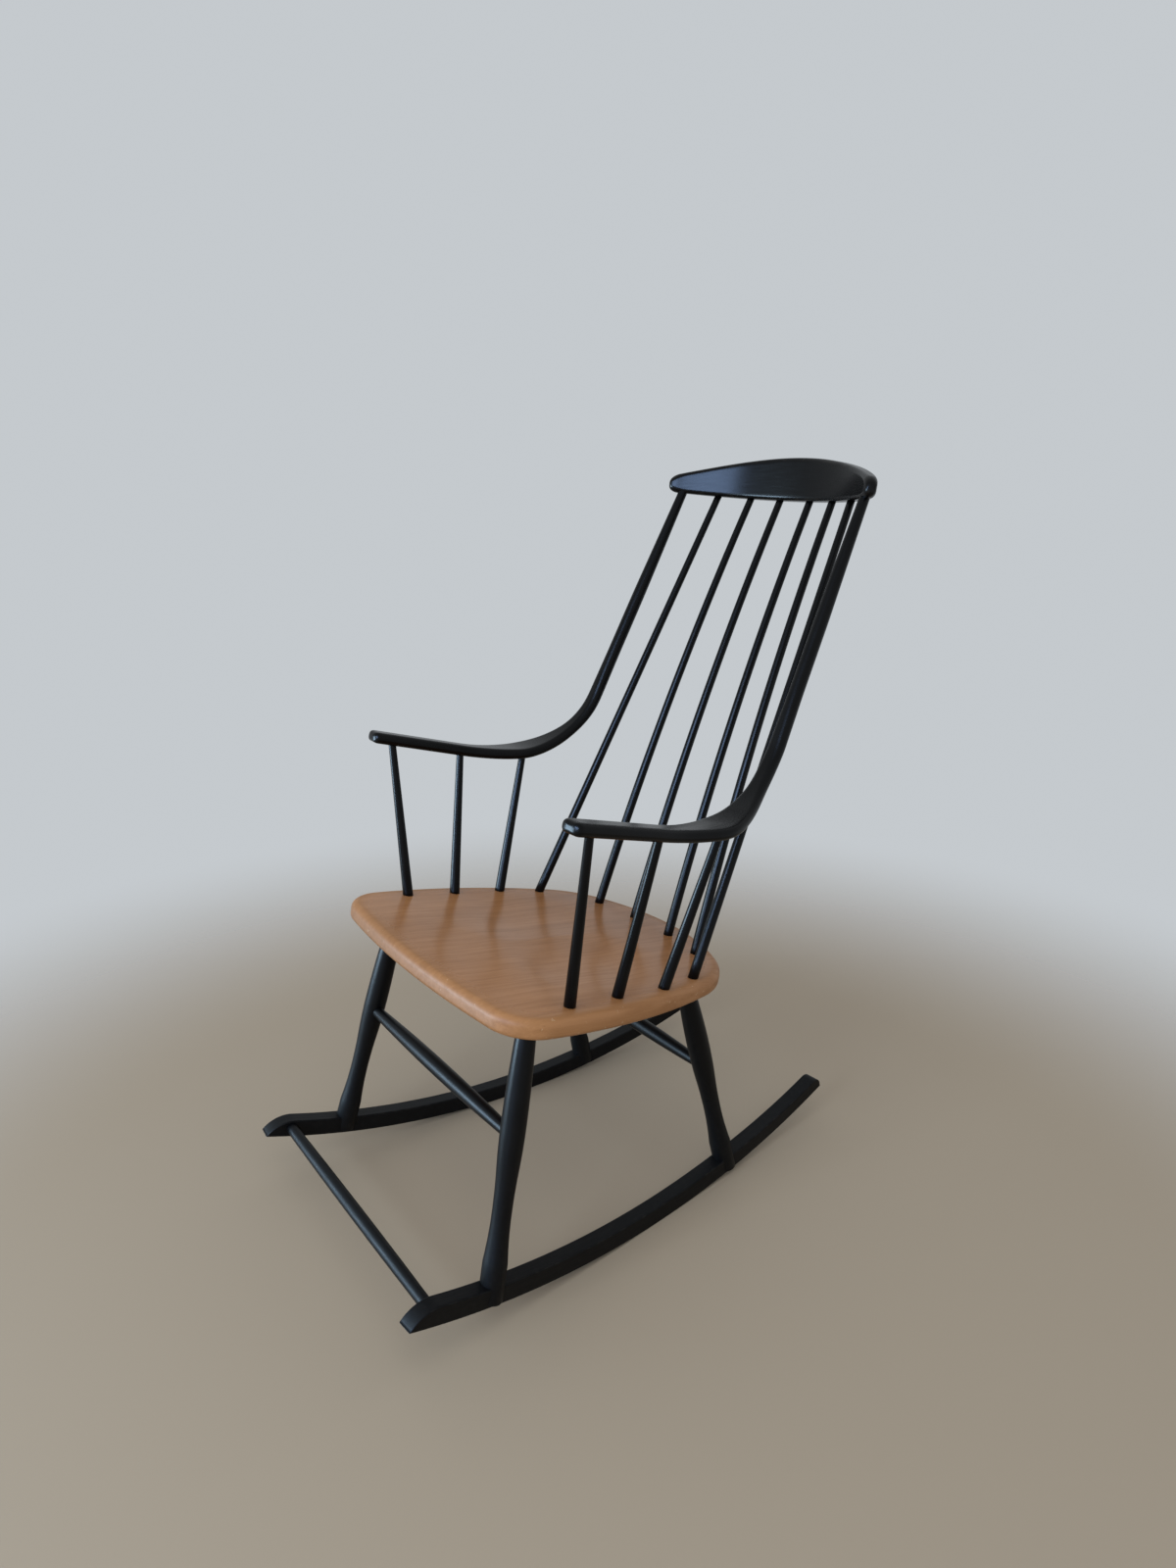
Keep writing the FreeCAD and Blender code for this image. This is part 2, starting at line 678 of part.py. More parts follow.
def arm_size(distance):
    """Width and thickness of the arm post at a distance from the arm's tip."""
    low, middle, top = cell.post_low_diameter, cell.post_middle_diameter, cell.post_top_diameter
    stations = [
        (0.0, cell.arm_width, cell.arm_thickness),
        (CURVE.arm + CURVE.ease * WIDENING_SHARE, cell.arm_width, cell.arm_thickness),
        (BEND_START + CURVE.bend * SHOULDER_SHARE, cell.shoulder_width, cell.arm_thickness),
        (BEND_START + CURVE.bend * NARROW_SHARE, cell.bend_width, cell.bend_thickness),
        (POST_START + CURVE.post * POST_LOW_SHARE, low, low),
        (POST_START + CURVE.post * POST_MIDDLE_SHARE, middle, middle),
        (ARM_LENGTH, top, top),
    ]
    for before, after in zip(stations, stations[1:]):
        if distance <= after[0]:
            break
    share = (distance - before[0]) / (after[0] - before[0])
    return mixed(before[1], after[1], share), mixed(before[2], after[2], share)


def arm_loft(body, name, sections):
    """Solid through cross-sections of the arm post: distance from the tip, width and thickness."""
    sketches = []
    for i, (distance, width, thickness) in enumerate(sections):
        corner = thickness * CORNER_SHARE
        sketches.append(rounded_section(body, f"{name}_{i}", arm_frame(distance), width, thickness, corner))
    loft = body.newObject("PartDesign::AdditiveLoft", name)
    loft.Profile = sketches[0]
    loft.Sections = sketches[1:]


def arm_post_body(name):
    """Left arm post: one bent stick with a blunt round nose and a tenon for the crest rail."""
    body = doc.addObject("PartDesign::Body", name)
    spacing = (ARM_LENGTH - mm.arm_nose) / ARM_SECTIONS
    places = [mm.arm_nose + spacing * i for i in range(ARM_SECTIONS + 1)]
    arm_loft(body, f"{name}_bent", [(at, *arm_size(at)) for at in places])
    nose = []
    for share, slim in NOSE_STEPS:
        nose.append((mm.arm_nose * share, cell.arm_width * (1 - slim * NOSE_WIDTH_LOSS),
                     cell.arm_thickness * (1 - slim * NOSE_THICKNESS_LOSS)))
    arm_loft(body, f"{name}_nose", nose)
    round_tenon(body, f"{name}_tenon", arm_frame(ARM_LENGTH), cell.post_tenon_diameter, cell.post_tenon)
    return body


def round_section(body, name, frame, size):
    """Round section of a bent piece, centred on its frame."""
    sketch = new_sketch(body, name, "XY_Plane", frame)
    index = sketch.addGeometry(Part.Circle(Vector(0, 0, 0), UP, size.value / 2))
    sketch.addConstraint(Sketcher.Constraint("Coincident", index, 3, -1, 1))
    dimension(sketch, "Radius", (index,), size / 2)
    return sketch


def round_tenon(body, name, frame, size, length, backward=False):
    """Straight round end that carries on from a bent piece, along the frame's Z or against it."""
    tenon = body.newObject("PartDesign::Pad", name)
    tenon.Profile = round_section(body, f"{name}_circle", frame, size)
    tenon.Reversed = backward
    bind(tenon, "Length", length)


# Spindles

def spindle(node, foot, top, foot_size, top_size, foot_tenon, top_tenon):
    """Tapered spindle from its foot point to its top point, with a straight tenon at each end."""
    way = (top - foot).normalize()
    start = foot - way * foot_tenon.value
    end = top + way * top_tenon.value
    length = fixed((end - start).Length)
    outline = [
        (foot_size / 2, fixed(0.0), "line"),
        (foot_size / 2, foot_tenon, "line"),
        (top_size / 2, length - top_tenon, "line"),
        (top_size / 2, length, "line"),
    ]
    keep(node, turned(node, outline, along(start, end)))
    return start, end


def bent_spindle(node, foot, top, bow, foot_size, top_size, foot_tenon, top_tenon):
    """Tapered spindle bent forward along an arc from foot to top, its tenons straight on from the arc."""
    way = (top - foot).normalize()
    toward = (FORWARD - way * way.dot(FORWARD)).normalize()
    across = toward.cross(way)
    half = (top - foot).Length / 2
    radius = (half ** 2 + bow ** 2) / (2 * bow)
    half_angle = math.asin(half / radius)
    centre = (foot + top) / 2 - toward * (radius - bow)

    def frame(share):
        angle = half_angle * (2 * share - 1)
        outward = toward * math.cos(angle) + way * math.sin(angle)
        tangent = way * math.cos(angle) - toward * math.sin(angle)
        return Placement(centre + outward * radius, Rotation(across, outward * -1, tangent, "ZXY")), tangent

    body = doc.addObject("PartDesign::Body", node)
    sections = []
    for i in range(SPINDLE_SECTIONS + 1):
        share = i / SPINDLE_SECTIONS
        size = mixed(foot_size, top_size, share)
        sections.append(round_section(body, f"{node}_section_{i}", frame(share)[0], size))
    stick = body.newObject("PartDesign::AdditiveLoft", f"{node}_stick")
    stick.Profile = sections[0]
    stick.Sections = sections[1:]
    foot_frame, foot_way = frame(0)
    top_frame, top_way = frame(1)
    round_tenon(body, f"{node}_foot", foot_frame, foot_size, foot_tenon, backward=True)
    round_tenon(body, f"{node}_top", top_frame, top_size, top_tenon)
    keep(node, body)
    return foot - foot_way * foot_tenon.value, top + top_way * top_tenon.value


seat_cuts, crest_cuts, arm_cuts = [], [], []


def socket(name, size, deep_end, mouth, past):
    """Blind round socket: from just past the end of a tenon out through the mouth."""
    way = (mouth - deep_end).normalize()
    start = deep_end - way * mm.socket_spare
    depth = fixed((mouth - start).Length) + past
    return drill(name, size / 2 + cell.fit_gap, depth, along(start, mouth))


for row in ("front", "middle", "rear"):
    inset = getattr(mm, f"{row}_arm_spindle_inset")
    backward = -getattr(mm, f"{row}_arm_spindle_at")
    distance = getattr(mm, f"{row}_arm_spindle_along")
    for side_name, side in SIDES.items():
        node = f"{side_name}_{row}_arm_spindle"
        foot = seat_point(side * (mm.seat_width / 2 - inset), backward)
        top = arm_point(distance)
        top.x = side * top.x
        middle_of_arm = top - (top - foot).normalize() * (mm.arm_spindle_arm_tenon / 2)
        start, end = spindle(node, foot, middle_of_arm, cell.arm_spindle_foot, cell.arm_spindle_top,
                             cell.arm_spindle_seat_tenon, cell.arm_spindle_arm_tenon / 2)
        seat_cuts.append(socket(f"{node}_seat_socket", cell.arm_spindle_foot, start, foot, cell.seat_thickness))
        if side > 0:
            arm_cuts.append(socket(f"{node}_arm_socket", cell.arm_spindle_top, end, foot, fixed(0.0)))

BOWS = {"outer": 0.0, "middle": mm.back_spindle_bow, "inner": mm.back_spindle_bow}
for row, bow in BOWS.items():
    across = getattr(mm, f"{row}_back_spindle_foot_x")
    backward = getattr(mm, f"{row}_back_spindle_foot_y")
    top_across = getattr(mm, f"{row}_back_spindle_top_x")
    for side_name, side in SIDES.items():
        node = f"{side_name}_{row}_back_spindle"
        foot = seat_point(side * across, backward)
        top = crest_point(side * top_across)
        ends = (cell.back_spindle_foot, cell.back_spindle_top,
                cell.back_spindle_seat_tenon, cell.back_spindle_crest_tenon)
        start, end = bent_spindle(node, foot, top, bow, *ends) if bow else spindle(node, foot, top, *ends)
        seat_cuts.append(socket(f"{node}_seat_socket", cell.back_spindle_foot, start, foot, cell.seat_thickness))
        crest_cuts.append(socket(f"{node}_crest_socket", cell.back_spindle_top, end, top, cell.crest_thickness))

for row in LEG_FEET:
    for side_name, side in SIDES.items():
        foot, top = leg_line(row, side)
        deep = top + (top - foot).normalize() * mm.leg_tenon
        seat_cuts.append(socket(f"{side_name}_{row}_leg_socket", cell.leg_top_diameter, deep, top,
                                cell.seat_thickness))

left_post = keep("left_arm_post", cut_from("left_arm_post", arm_post_body("arm_post_stick"), arm_cuts))
keep("right_arm_post", mirrored("right_arm_post_twin", left_post))

for side_name, side in SIDES.items():
    frame = arm_frame(ARM_LENGTH)
    way = frame.Rotation.multVec(UP)
    if way.z < 0:
        way = way * -1
    base, end = Vector(frame.Base), frame.Base + way * mm.post_tenon
    for p in (base, end):
        p.x = side * p.x
    crest_cuts.append(socket(f"{side_name}_post_tenon_socket", cell.post_tenon_diameter, end, base,
                             cell.crest_thickness))
    crest_cuts.append(socket(f"{side_name}_post_mouth", cell.post_top_diameter, base, base - (end - base),
                             cell.crest_thickness))

# Crest rail

def crest_sections():
    """Sections of the crest rail from end to end: angle round the bow, height and thickness."""
    half = mm.crest_length / 2
    arch_drop = mm.crest_rise - mm.crest_end_rise
    arch_radius = (half ** 2 + arch_drop ** 2) / (2 * arch_drop)
    end_angle = math.degrees(math.asin(half / mm.crest_bow_radius))
    round_angle = math.degrees(mm.crest_end_round / mm.crest_bow_radius)
    inner = end_angle - round_angle
    angles = [(end_angle - inward * round_angle, tall, thick) for inward, tall, thick in CREST_END_STEPS]
    angles += [(inner * share, 1.0, 1.0) for share in CREST_MIDDLE_STEPS]
    angles += [(-angle, tall, thick) for angle, tall, thick in reversed(angles[:-1])]
    for angle, tall, thick in angles:
        across = mm.crest_bow_radius * math.sin(math.radians(angle))
        full = mm.crest_rise - arch_radius + math.sqrt(arch_radius ** 2 - across ** 2)
        yield angle, full, full * tall, cell.crest_thickness * thick


def crest_blank():
    """Bowed and arched board, lofted through upright rounded sections round its bow."""
    body = doc.addObject("PartDesign::Body", "crest_board")
    axis = Vector(0, -mm.crest_bow_radius, 0)
    sections = []
    for i, (angle, full, tall, thick) in enumerate(crest_sections()):
        round_bow = Rotation(UP, -angle)
        outward = round_bow.multVec(Vector(0, 1, 0))
        centre = axis + outward * mm.crest_bow_radius + UP * (full / 2)
        frame = Placement(centre, Rotation(outward, UP, outward.cross(UP), "XYZ"))
        corner = cell.crest_edge_round * (tall / full)
        sections.append(rounded_section(body, f"crest_section_{i}", frame, thick, fixed(tall), corner))
    board = body.newObject("PartDesign::AdditiveLoft", "crest_loft")
    board.Profile = sections[0]
    board.Sections = sections[1:]
    body.Placement = CREST_PLACE
    return body


keep("crest_rail", cut_from("crest_rail", crest_blank(), crest_cuts))

# Seat

def seat_blank():
    """Seat board: bowed front and back, bulging sides, rounded corners and edges."""
    body = doc.addObject("PartDesign::Body", "seat_blank")
    sketch = new_sketch(body, "seat_outline", "XY_Plane")
    half = mm.seat_width / 2
    front_corner = Vector(half - mm.seat_front_pinch, mm.seat_front_bow - mm.seat_front, 0)
    back_corner = Vector(half - mm.seat_back_pinch, mm.seat_back - mm.seat_back_bow, 0)
    other = [Vector(-p.x, p.y, 0) for p in (front_corner, back_corner)]
    front_middle = Vector(0, -mm.seat_front, 0)
    back_middle = Vector(0, mm.seat_back, 0)
    widest = Vector(half, -mm.seat_widest, 0)
    arcs = [
        (other[0], front_middle, front_corner),
        (front_corner, widest, back_corner),
        (back_corner, back_middle, other[1]),
        (other[1], Vector(-widest.x, widest.y, 0), other[0]),
    ]
    lengths = {
        "front_x": cell.seat_width / 2 - cell.seat_front_pinch,
        "front_y": cell.seat_front_bow - cell.seat_front,
        "back_x": cell.seat_width / 2 - cell.seat_back_pinch,
        "back_y": cell.seat_back - cell.seat_back_bow,
    }
    corners = [
        (lengths["front_x"] * -1, lengths["front_y"]),
        (lengths["front_x"], lengths["front_y"]),
        (lengths["back_x"], lengths["back_y"]),
        (lengths["back_x"] * -1, lengths["back_y"]),
    ]
    middles = [
        (fixed(0.0), cell.seat_front * -1),
        (cell.seat_width / 2, cell.seat_widest * -1),
        (fixed(0.0), cell.seat_back),
        (cell.seat_width / 2 * -1, cell.seat_widest * -1),
    ]
    edges = [sketch.addGeometry(Part.Arc(*arc)) for arc in arcs]
    for i, edge in enumerate(edges):
        before = edges[i - 1]
        sketch.addConstraint(Sketcher.Constraint("Coincident", before, 2, edge, 1))
        set_point(sketch, edge, 1, *corners[i])
        point = sketch.addGeometry(Part.Point(arcs[i][1]))
        sketch.addConstraint(Sketcher.Constraint("PointOnObject", point, 1, edge))
        set_point(sketch, point, 1, *middles[i])
    pad = body.newObject("PartDesign::Pad", "seat_board")
    pad.Profile = sketch
    pad.Reversed = True
    bind(pad, "Length", cell.seat_thickness)
    doc.recompute()
    last = pad
    for name, radius, is_front in (("seat_front_corners", cell.seat_front_corner, True),
                                   ("seat_back_corners", cell.seat_back_corner, False)):
        upright = edges_where(last.Shape, lambda e: is_corner(e) and (e.CenterOfMass.y < 0) == is_front)
        last = soften(body, name, last, upright, radius)
    for name, radius, level in (("seat_top_edge", cell.seat_top_round, 0.0),
                                ("seat_bottom_edge", cell.seat_bottom_round, -mm.seat_thickness)):
        rim = edges_where(last.Shape, lambda e: all(abs(v.Point.z - level) < mm.fit_gap for v in e.Vertexes)
                          and abs(e.CenterOfMass.z - level) < mm.fit_gap)
        last = soften(body, name, last, rim, radius)
    body.Placement = Placement(seat_point(0, 0), Rotation(Vector(1, 0, 0), -mm.seat_tilt))
    return body


def is_corner(edge):
    """True for an upright straight edge of the seat board."""
    return edge.Curve.TypeId == "Part::GeomLine" and abs(edge.tangentAt(edge.FirstParameter).z) > UPRIGHT


def soften(body, name, base, edge_names, radius):
    """Fillet the named edges of a body's last feature."""
    fillet = body.newObject("PartDesign::Fillet", name)
    fillet.Base = (base, edge_names)
    bind(fillet, "Radius", radius)
    doc.recompute()
    return fillet


def hollow(name, side):
    """Shallow hollow under one thigh: the cap of a large ball sunk into the top."""
    cap = mm.hollow_length / 2
    radius = (cap ** 2 + mm.hollow_depth ** 2) / (2 * mm.hollow_depth)
    ball = doc.addObject("Part::Sphere", name)
    ball.Radius = radius
    ball.Placement = Placement(
        seat_point(side * mm.hollow_spread / 2, -mm.hollow_forward, radius - mm.hollow_depth), Rotation())
    return ball


seat_cuts.extend(hollow(f"{name}_hollow", side) for name, side in SIDES.items())
keep("seat", cut_from("seat", seat_blank(), seat_cuts))

# Check every object and piece, then write the pieces
doc.recompute()
failed = [o.Name for o in doc.Objects if {"Invalid", "Error"} & set(o.State)]
assert not failed, f"objects that failed: {failed}"
for node, piece in nodes.items():
    shape = piece.Shape
    assert not shape.isNull() and shape.isValid(), f"{node} has no valid shape"
    assert len(shape.Solids) == 1, f"{node} is {len(shape.Solids)} solids"
os.makedirs("parts", exist_ok=True)
for node, piece in nodes.items():
    piece.Shape.exportStep(f"parts/{node}.step")
    box = piece.Shape.optimalBoundingBox()
    print(f"{node}: {piece.Shape.Volume / 1000:.1f} cm3, x {box.XMin:.0f}..{box.XMax:.0f},"
          f" y {box.YMin:.0f}..{box.YMax:.0f}, z {box.ZMin:.1f}..{box.ZMax:.1f}")
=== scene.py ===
import math

import bpy
import numpy as np
from mathutils import Matrix, Vector


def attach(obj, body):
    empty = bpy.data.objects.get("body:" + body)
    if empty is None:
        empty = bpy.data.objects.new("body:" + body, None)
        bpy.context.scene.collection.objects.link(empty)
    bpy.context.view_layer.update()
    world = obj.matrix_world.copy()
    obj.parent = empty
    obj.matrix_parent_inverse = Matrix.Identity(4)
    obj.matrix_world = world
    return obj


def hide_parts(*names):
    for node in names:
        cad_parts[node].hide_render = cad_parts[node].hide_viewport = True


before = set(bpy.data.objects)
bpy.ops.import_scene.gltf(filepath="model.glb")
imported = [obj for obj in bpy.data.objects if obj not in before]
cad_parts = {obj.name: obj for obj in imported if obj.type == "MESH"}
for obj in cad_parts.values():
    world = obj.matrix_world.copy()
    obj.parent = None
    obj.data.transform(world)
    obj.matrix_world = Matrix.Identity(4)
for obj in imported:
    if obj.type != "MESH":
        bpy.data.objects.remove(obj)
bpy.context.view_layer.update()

# Sizes in millimetres and degrees, and plain shares and powers. They follow the part's source, but
# tips are softer, leg feet end higher and arm widths allow for being averaged. Meshes are in metres.
MM = 0.001
SIDES = {"left": 1, "right": -1}

ROCKER_RADIUS = 1252.0
ROCKER_DEPTH = 27.0
ROCKER_THICKNESS = 24.5
ROCKER_FRONT = 449.0
ROCKER_BACK = 378.0
ROCKER_SPREAD = 401.4
ROCKER_TOE_IN = 4.65
ROCKER_NOSE = 40.0
ROCKER_TIP = 2.4
ROCKER_HEEL_ROUND = 16.0
ROCKER_EDGE_ROUND = 2.0
ROCKER_SLIM_START = 60.0
ROCKER_SLIM_LOSS = 4.0

SEAT_HEIGHT = 389.0
SEAT_TILT = 11.25
SEAT_THICKNESS = 27.5
SEAT_FRONT = 306.5
SEAT_BACK = 194.5
SEAT_HALF_WIDTH = 247.7
SEAT_WIDEST = 96.0
SEAT_FRONT_BOW = 21.7
SEAT_FRONT_PINCH = 1.4
SEAT_BACK_BOW = 74.5
SEAT_BACK_PINCH = 53.0
SEAT_FRONT_CORNER = 65.0
SEAT_BACK_CORNER = 142.0
SEAT_TOP_ROUND = 11.0
SEAT_BOTTOM_ROUND = 8.0
HOLLOW_RADIUS = 125.0
HOLLOW_DEPTH = 4.0
HOLLOW_ACROSS = 95.0
HOLLOW_FORWARD = 60.0
HOLLOW_POWER = 1.5
WAVE_DEPTH = 1.2
WAVE_LENGTH = 105.0
WAVE_WAY = (0.26, 0.966)
WAVE_FADE = 0.25
UNDER_SHARES = np.array([0.03, 0.3, 0.6, 0.85, 0.97])
TOP_RINGS = 40
TOP_CROWDING = 1.15
TOP_REACH = 0.99
RIM_FADE = 25.6

LEG_FOOT_RADIUS = 16.8
LEG_FOOT_HEIGHT = 40.0
LEG_WAIST_RADIUS = 13.2
LEG_WAIST_HEIGHT = 106.0
LEG_SWELL_RADIUS = 17.0
LEG_SWELL_HEIGHT = 224.0
LEG_TOP_RADIUS = 12.3
LEG_FOOT_CLEAR = 4.0
LEG_FOOT_SOFT = 1.2
LEG_FOOT_SOFT_SHARE = 0.3
LEG_BODY_START = 20.0
# How far back each foot stands on its rocker, and each top's place in from the seat's side and back
LEG_FEET = {"front": -319.0, "rear": 141.0}
LEG_TOPS = {"front": (62.7, -222.5), "rear": (80.0, 72.5)}

STRETCHER_HEIGHTS = {"front": 256.0, "rear": 206.0}
STRETCHER_SWELL_RADIUS = 12.0
STRETCHER_END_RADIUS = 8.5
STRETCHER_TENON = 13.0
FOOT_BAR_REACH = 409.5
FOOT_BAR_SWELL_RADIUS = 9.5
FOOT_BAR_END_RADIUS = 8.25
FOOT_BAR_TENON = 12.0

ARM_TIP_HALF_SPREAD = 259.5
ARM_TIP_FORWARD = 211.0
ARM_TIP_HEIGHT = 685.5
ARM_PITCH = 16.5
ARM_TOE_IN = 3.65
ARM_NOSE = 11.0
ARM_NOSE_POWER = 2.9
ARM_NOSE_START = 0.06
ARM_WIDTH = 34.8
ARM_THICKNESS = 17.5
SHOULDER_WIDTH = 60.5
BEND_WIDTH = 28.0
BEND_THICKNESS = 17.0
POST_FOOT_SIZE = 21.1
POST_MIDDLE_SIZE = 20.6
POST_TOP_SIZE = 15.0
# Where those sizes hold, as shares of the easy arc, the tighter arc and the straight post
WIDENING_SHARE = 0.3
SHOULDER_SHARE = 0.1
BEND_SHARE = 0.6
POST_FOOT_SHARE = 0.2
POST_MIDDLE_SHARE = 0.5
ARM_BLUR = 13.0
BLUR_REACH = 2.5
EASE_RADIUS = 489.0
EASE_TURN = 11.1
BEND_RADIUS = 160.0
POST_LEAN = 27.6
POST_FLARE = 2.9
POST_INTO_CREST = 6.0
CLOSING_SHARE = 0.9
ARM_CORNER_SHARE = 0.44
POST_CORNER_SHARE = 0.49

# Radii at foot and top. Feet in from the seat's side and back along it, tops along the arm from its tip.
ARM_SPINDLE_RADII = (8.2, 5.7)
ARM_SPINDLES = {
    "front": (26.9, -187.0, 35.0),
    "middle": (31.8, -103.4, 157.0),
    "rear": (35.2, -16.7, 276.0),
}
# Feet across and back along the seat, tops across under the crest rail
BACK_SPINDLE_RADII = (7.5, 5.7)
BACK_SPINDLES = {
    "outer": (196.1, 54.8, 140.8),
    "middle": (120.9, 130.0, 86.4),
    "inner": (42.4, 144.4, 31.5),
}
BACK_SPINDLE_BOWS = {"outer": 0.0, "middle": 13.5, "inner": 13.5}
INTO_SEAT = 6.0
INTO_ARM = 4.0
INTO_CREST = 8.0

CREST_HEIGHT = 1026.5
CREST_BACK = 432.6
CREST_LEAN = 8.5
CREST_BOW_RADIUS = 294.0
CREST_THICKNESS = 26.0
CREST_THINNING = 7.0
CREST_HALF_LENGTH = 210.0
CREST_RISE = 67.0
CREST_END_RISE = 27.0
CREST_END_ROUND = 15.0
CREST_END_TALL = 0.25
CREST_END_THICK = 0.45
CREST_END_SOFT = 34.0
CREST_END_CORNER = 12.5
CREST_EDGE_ROUND = 6.5
CREST_HALF_POST_SPREAD = 192.3

# How many rings each run of a piece gets, and how many steps go round it
BAR_RINGS = 41
SPINDLE_RINGS = 25
BOWED_SPINDLE_RINGS = 49
LEG_FOOT_RINGS = 4
LEG_RINGS = 60
ROCKER_NOSE_RINGS = 22
ROCKER_RINGS = 90
ROCKER_HEEL_RINGS = 14
CREST_RINGS = 81
CREST_END_RINGS = 12
ARM_RINGS = 170
ARM_NOSE_RINGS = 16
SEAT_EDGE_RINGS = 9
ROUND_STEPS = 36
CORNER_STEPS = 6
BLUR_STEPS = 41
# Along the seat's front arc, front corner, side arc, back corner and back arc
OUTLINE_STEPS = (18, 22, 22, 26, 12)

FORWARD = np.array([0.0, -1.0, 0.0])


# Making pieces

def unit(vectors):
    """Each vector divided by its own length."""
    return vectors / np.linalg.norm(vectors, axis=-1, keepdims=True)


def smooth_step(share):
    """A share held between nothing and one, then three times its square less twice its cube."""
    share = np.clip(share, 0.0, 1.0)
    return share * share * (3 - 2 * share)


def ring_skin(rings):
    """Closed skin over a stack of rings, given as stations by points round by three.

    Four-sided faces join each ring to the next and wrap round, and a fan from the middle of
    each end ring closes the ends. The sum of the triple products of the faces is six times the
    volume inside, and where it comes out negative every face is turned over, to point outwards.
    """
    stations, around = rings.shape[:2]
    station, step = np.meshgrid(np.arange(stations - 1), np.arange(around), indexing="ij")
    here = station * around + step
    beside = station * around + (step + 1) % around
    quads = np.stack([here, beside, beside + around, here + around], axis=-1).reshape(-1, 4)
    step = np.arange(around)
    beside = (step + 1) % around
    last_ring = (stations - 1) * around
    middle = stations * around
    first_fan = np.stack([beside, step, np.full(around, middle)], axis=-1)
    last_fan = np.stack([step + last_ring, beside + last_ring, np.full(around, middle + 1)], axis=-1)
    fans = np.concatenate([first_fan, last_fan])
    points = np.concatenate([rings.reshape(-1, 3), rings[[0, -1]].mean(axis=1)])
    halves = np.concatenate([quads[:, [0, 1, 2]], quads[:, [0, 2, 3]], fans])
    a, b, c = np.moveaxis(points[halves], 1, 0)
    if np.einsum("ij,ij->", a, np.cross(b, c)) < 0:
        quads, fans = quads[:, ::-1], fans[:, ::-1]
    return points, quads.tolist() + fans.tolist()


STREAK_STRETCH = 16.0


def stick_marks(rings):
    """Where each point lies on its stick: how far along, from the summed steps between ring middles,
    and how far out from the ring's middle. Distances along are pressed together, so that streaks run
    long.
    """
    middle = rings.mean(axis=1, keepdims=True)
    steps = np.linalg.norm(np.diff(middle[:, 0], axis=0), axis=-1)
    along = np.concatenate([[0.0], np.cumsum(steps)])[:, None] / STREAK_STRETCH
    return {"along": np.repeat(along, rings.shape[1], axis=1) * MM, "section": (rings - middle) * MM}


def add_piece(node, rings, finish, marks=None):
    """One piece of the chair in place of a CAD node: the skin of its rings, with a mark per point."""
    points, faces = ring_skin(rings)
    mesh = bpy.data.meshes.new(f"{node}_shaped")
    mesh.from_pydata((points * MM).tolist(), [], faces)
    mesh.polygons.foreach_set("use_smooth", np.ones(len(faces), dtype=bool))
    for name, values in {**stick_marks(rings), **(marks or {})}.items():
        ends = values[[0, -1]].mean(axis=1)
        flat = np.concatenate([values.reshape(-1, *values.shape[2:]), ends]).astype(np.float32)
        kind, field = ("FLOAT_VECTOR", "vector") if flat.ndim == 2 else ("FLOAT", "value")
        mesh.attributes.new(name, kind, "POINT").data.foreach_set(field, flat.ravel())
    mesh.materials.append(finish["material"])
    piece = bpy.data.objects.new(f"{node}_shaped", mesh)
    bpy.context.scene.collection.objects.link(piece)
    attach(piece, "root")
    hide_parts(node)


# Places in the chair's frame

def seat_point(across, backward, above=0.0):
    """Seat frame to chair frame: backward runs down the seat's slope, above stands square to it."""
    tilt = math.radians(SEAT_TILT)
    across, backward, above = np.broadcast_arrays(across, backward, above)
    y = backward * math.cos(tilt) + above * math.sin(tilt)
    z = SEAT_HEIGHT - backward * math.sin(tilt) + above * math.cos(tilt)
    return np.stack([across, y, z], axis=-1)


def rocker_turned(side, points):
    """Points of a rocker's own frame turned about the upright by its toe-in."""
    turn = math.radians(side * ROCKER_TOE_IN)
    x, y, z = np.moveaxis(points, -1, 0)
    turned_x = x * math.cos(turn) - y * math.sin(turn)
    turned_y = x * math.sin(turn) + y * math.cos(turn)
    return np.stack([turned_x, turned_y, z], axis=-1)


def rocker_placed(side, points):
    """Points of a rocker's own frame, turned by its toe-in and carried out to its side."""
    return rocker_turned(side, points) + np.array([side * ROCKER_SPREAD / 2, 0.0, 0.0])


def rocker_middle(side, backward):
    """Point of a rocker's middle arc: its height is the rocker radius less a leg of a right triangle."""
    radius = ROCKER_RADIUS - ROCKER_DEPTH / 2
    height = ROCKER_RADIUS - math.sqrt(radius ** 2 - backward ** 2)
    return rocker_placed(side, np.array([0.0, backward, height]))


def crest_placed(points):
    """Points of the crest rail's own frame, leaned back about its bottom edge and carried to its place."""
    lean = math.radians(-CREST_LEAN)
    x, y, z = np.moveaxis(points, -1, 0)
    leaned = [x, y * math.cos(lean) - z * math.sin(lean), y * math.sin(lean) + z * math.cos(lean)]
    return np.stack(leaned, axis=-1) + np.array([0.0, CREST_BACK, CREST_HEIGHT])


def crest_foot(across):
    """Point of the crest rail's bottom edge: it comes forward by the sagitta of its bow."""
    bow = CREST_BOW_RADIUS - math.sqrt(CREST_BOW_RADIUS ** 2 - across ** 2)
    return crest_placed(np.array([across, -bow, 0.0]))


# Turned sticks

def circle_about(way):
    """Unit circle square to a line, as points round by three: the angle's cosine across the line and
    its sine upwards.
    """
    across = unit(np.cross(way, FORWARD))
    up = np.cross(across, way)
    angle = np.linspace(0.0, 2 * math.pi, ROUND_STEPS, endpoint=False)[:, None]
    return np.cos(angle) * across + np.sin(angle) * up


def turning(start, end, distances, radii):
    """Circles of the given radii at the given distances along the line from start to end."""
    way = unit(end - start)
    spokes = circle_about(way)
    return start + distances[:, None, None] * way + radii[:, None, None] * spokes


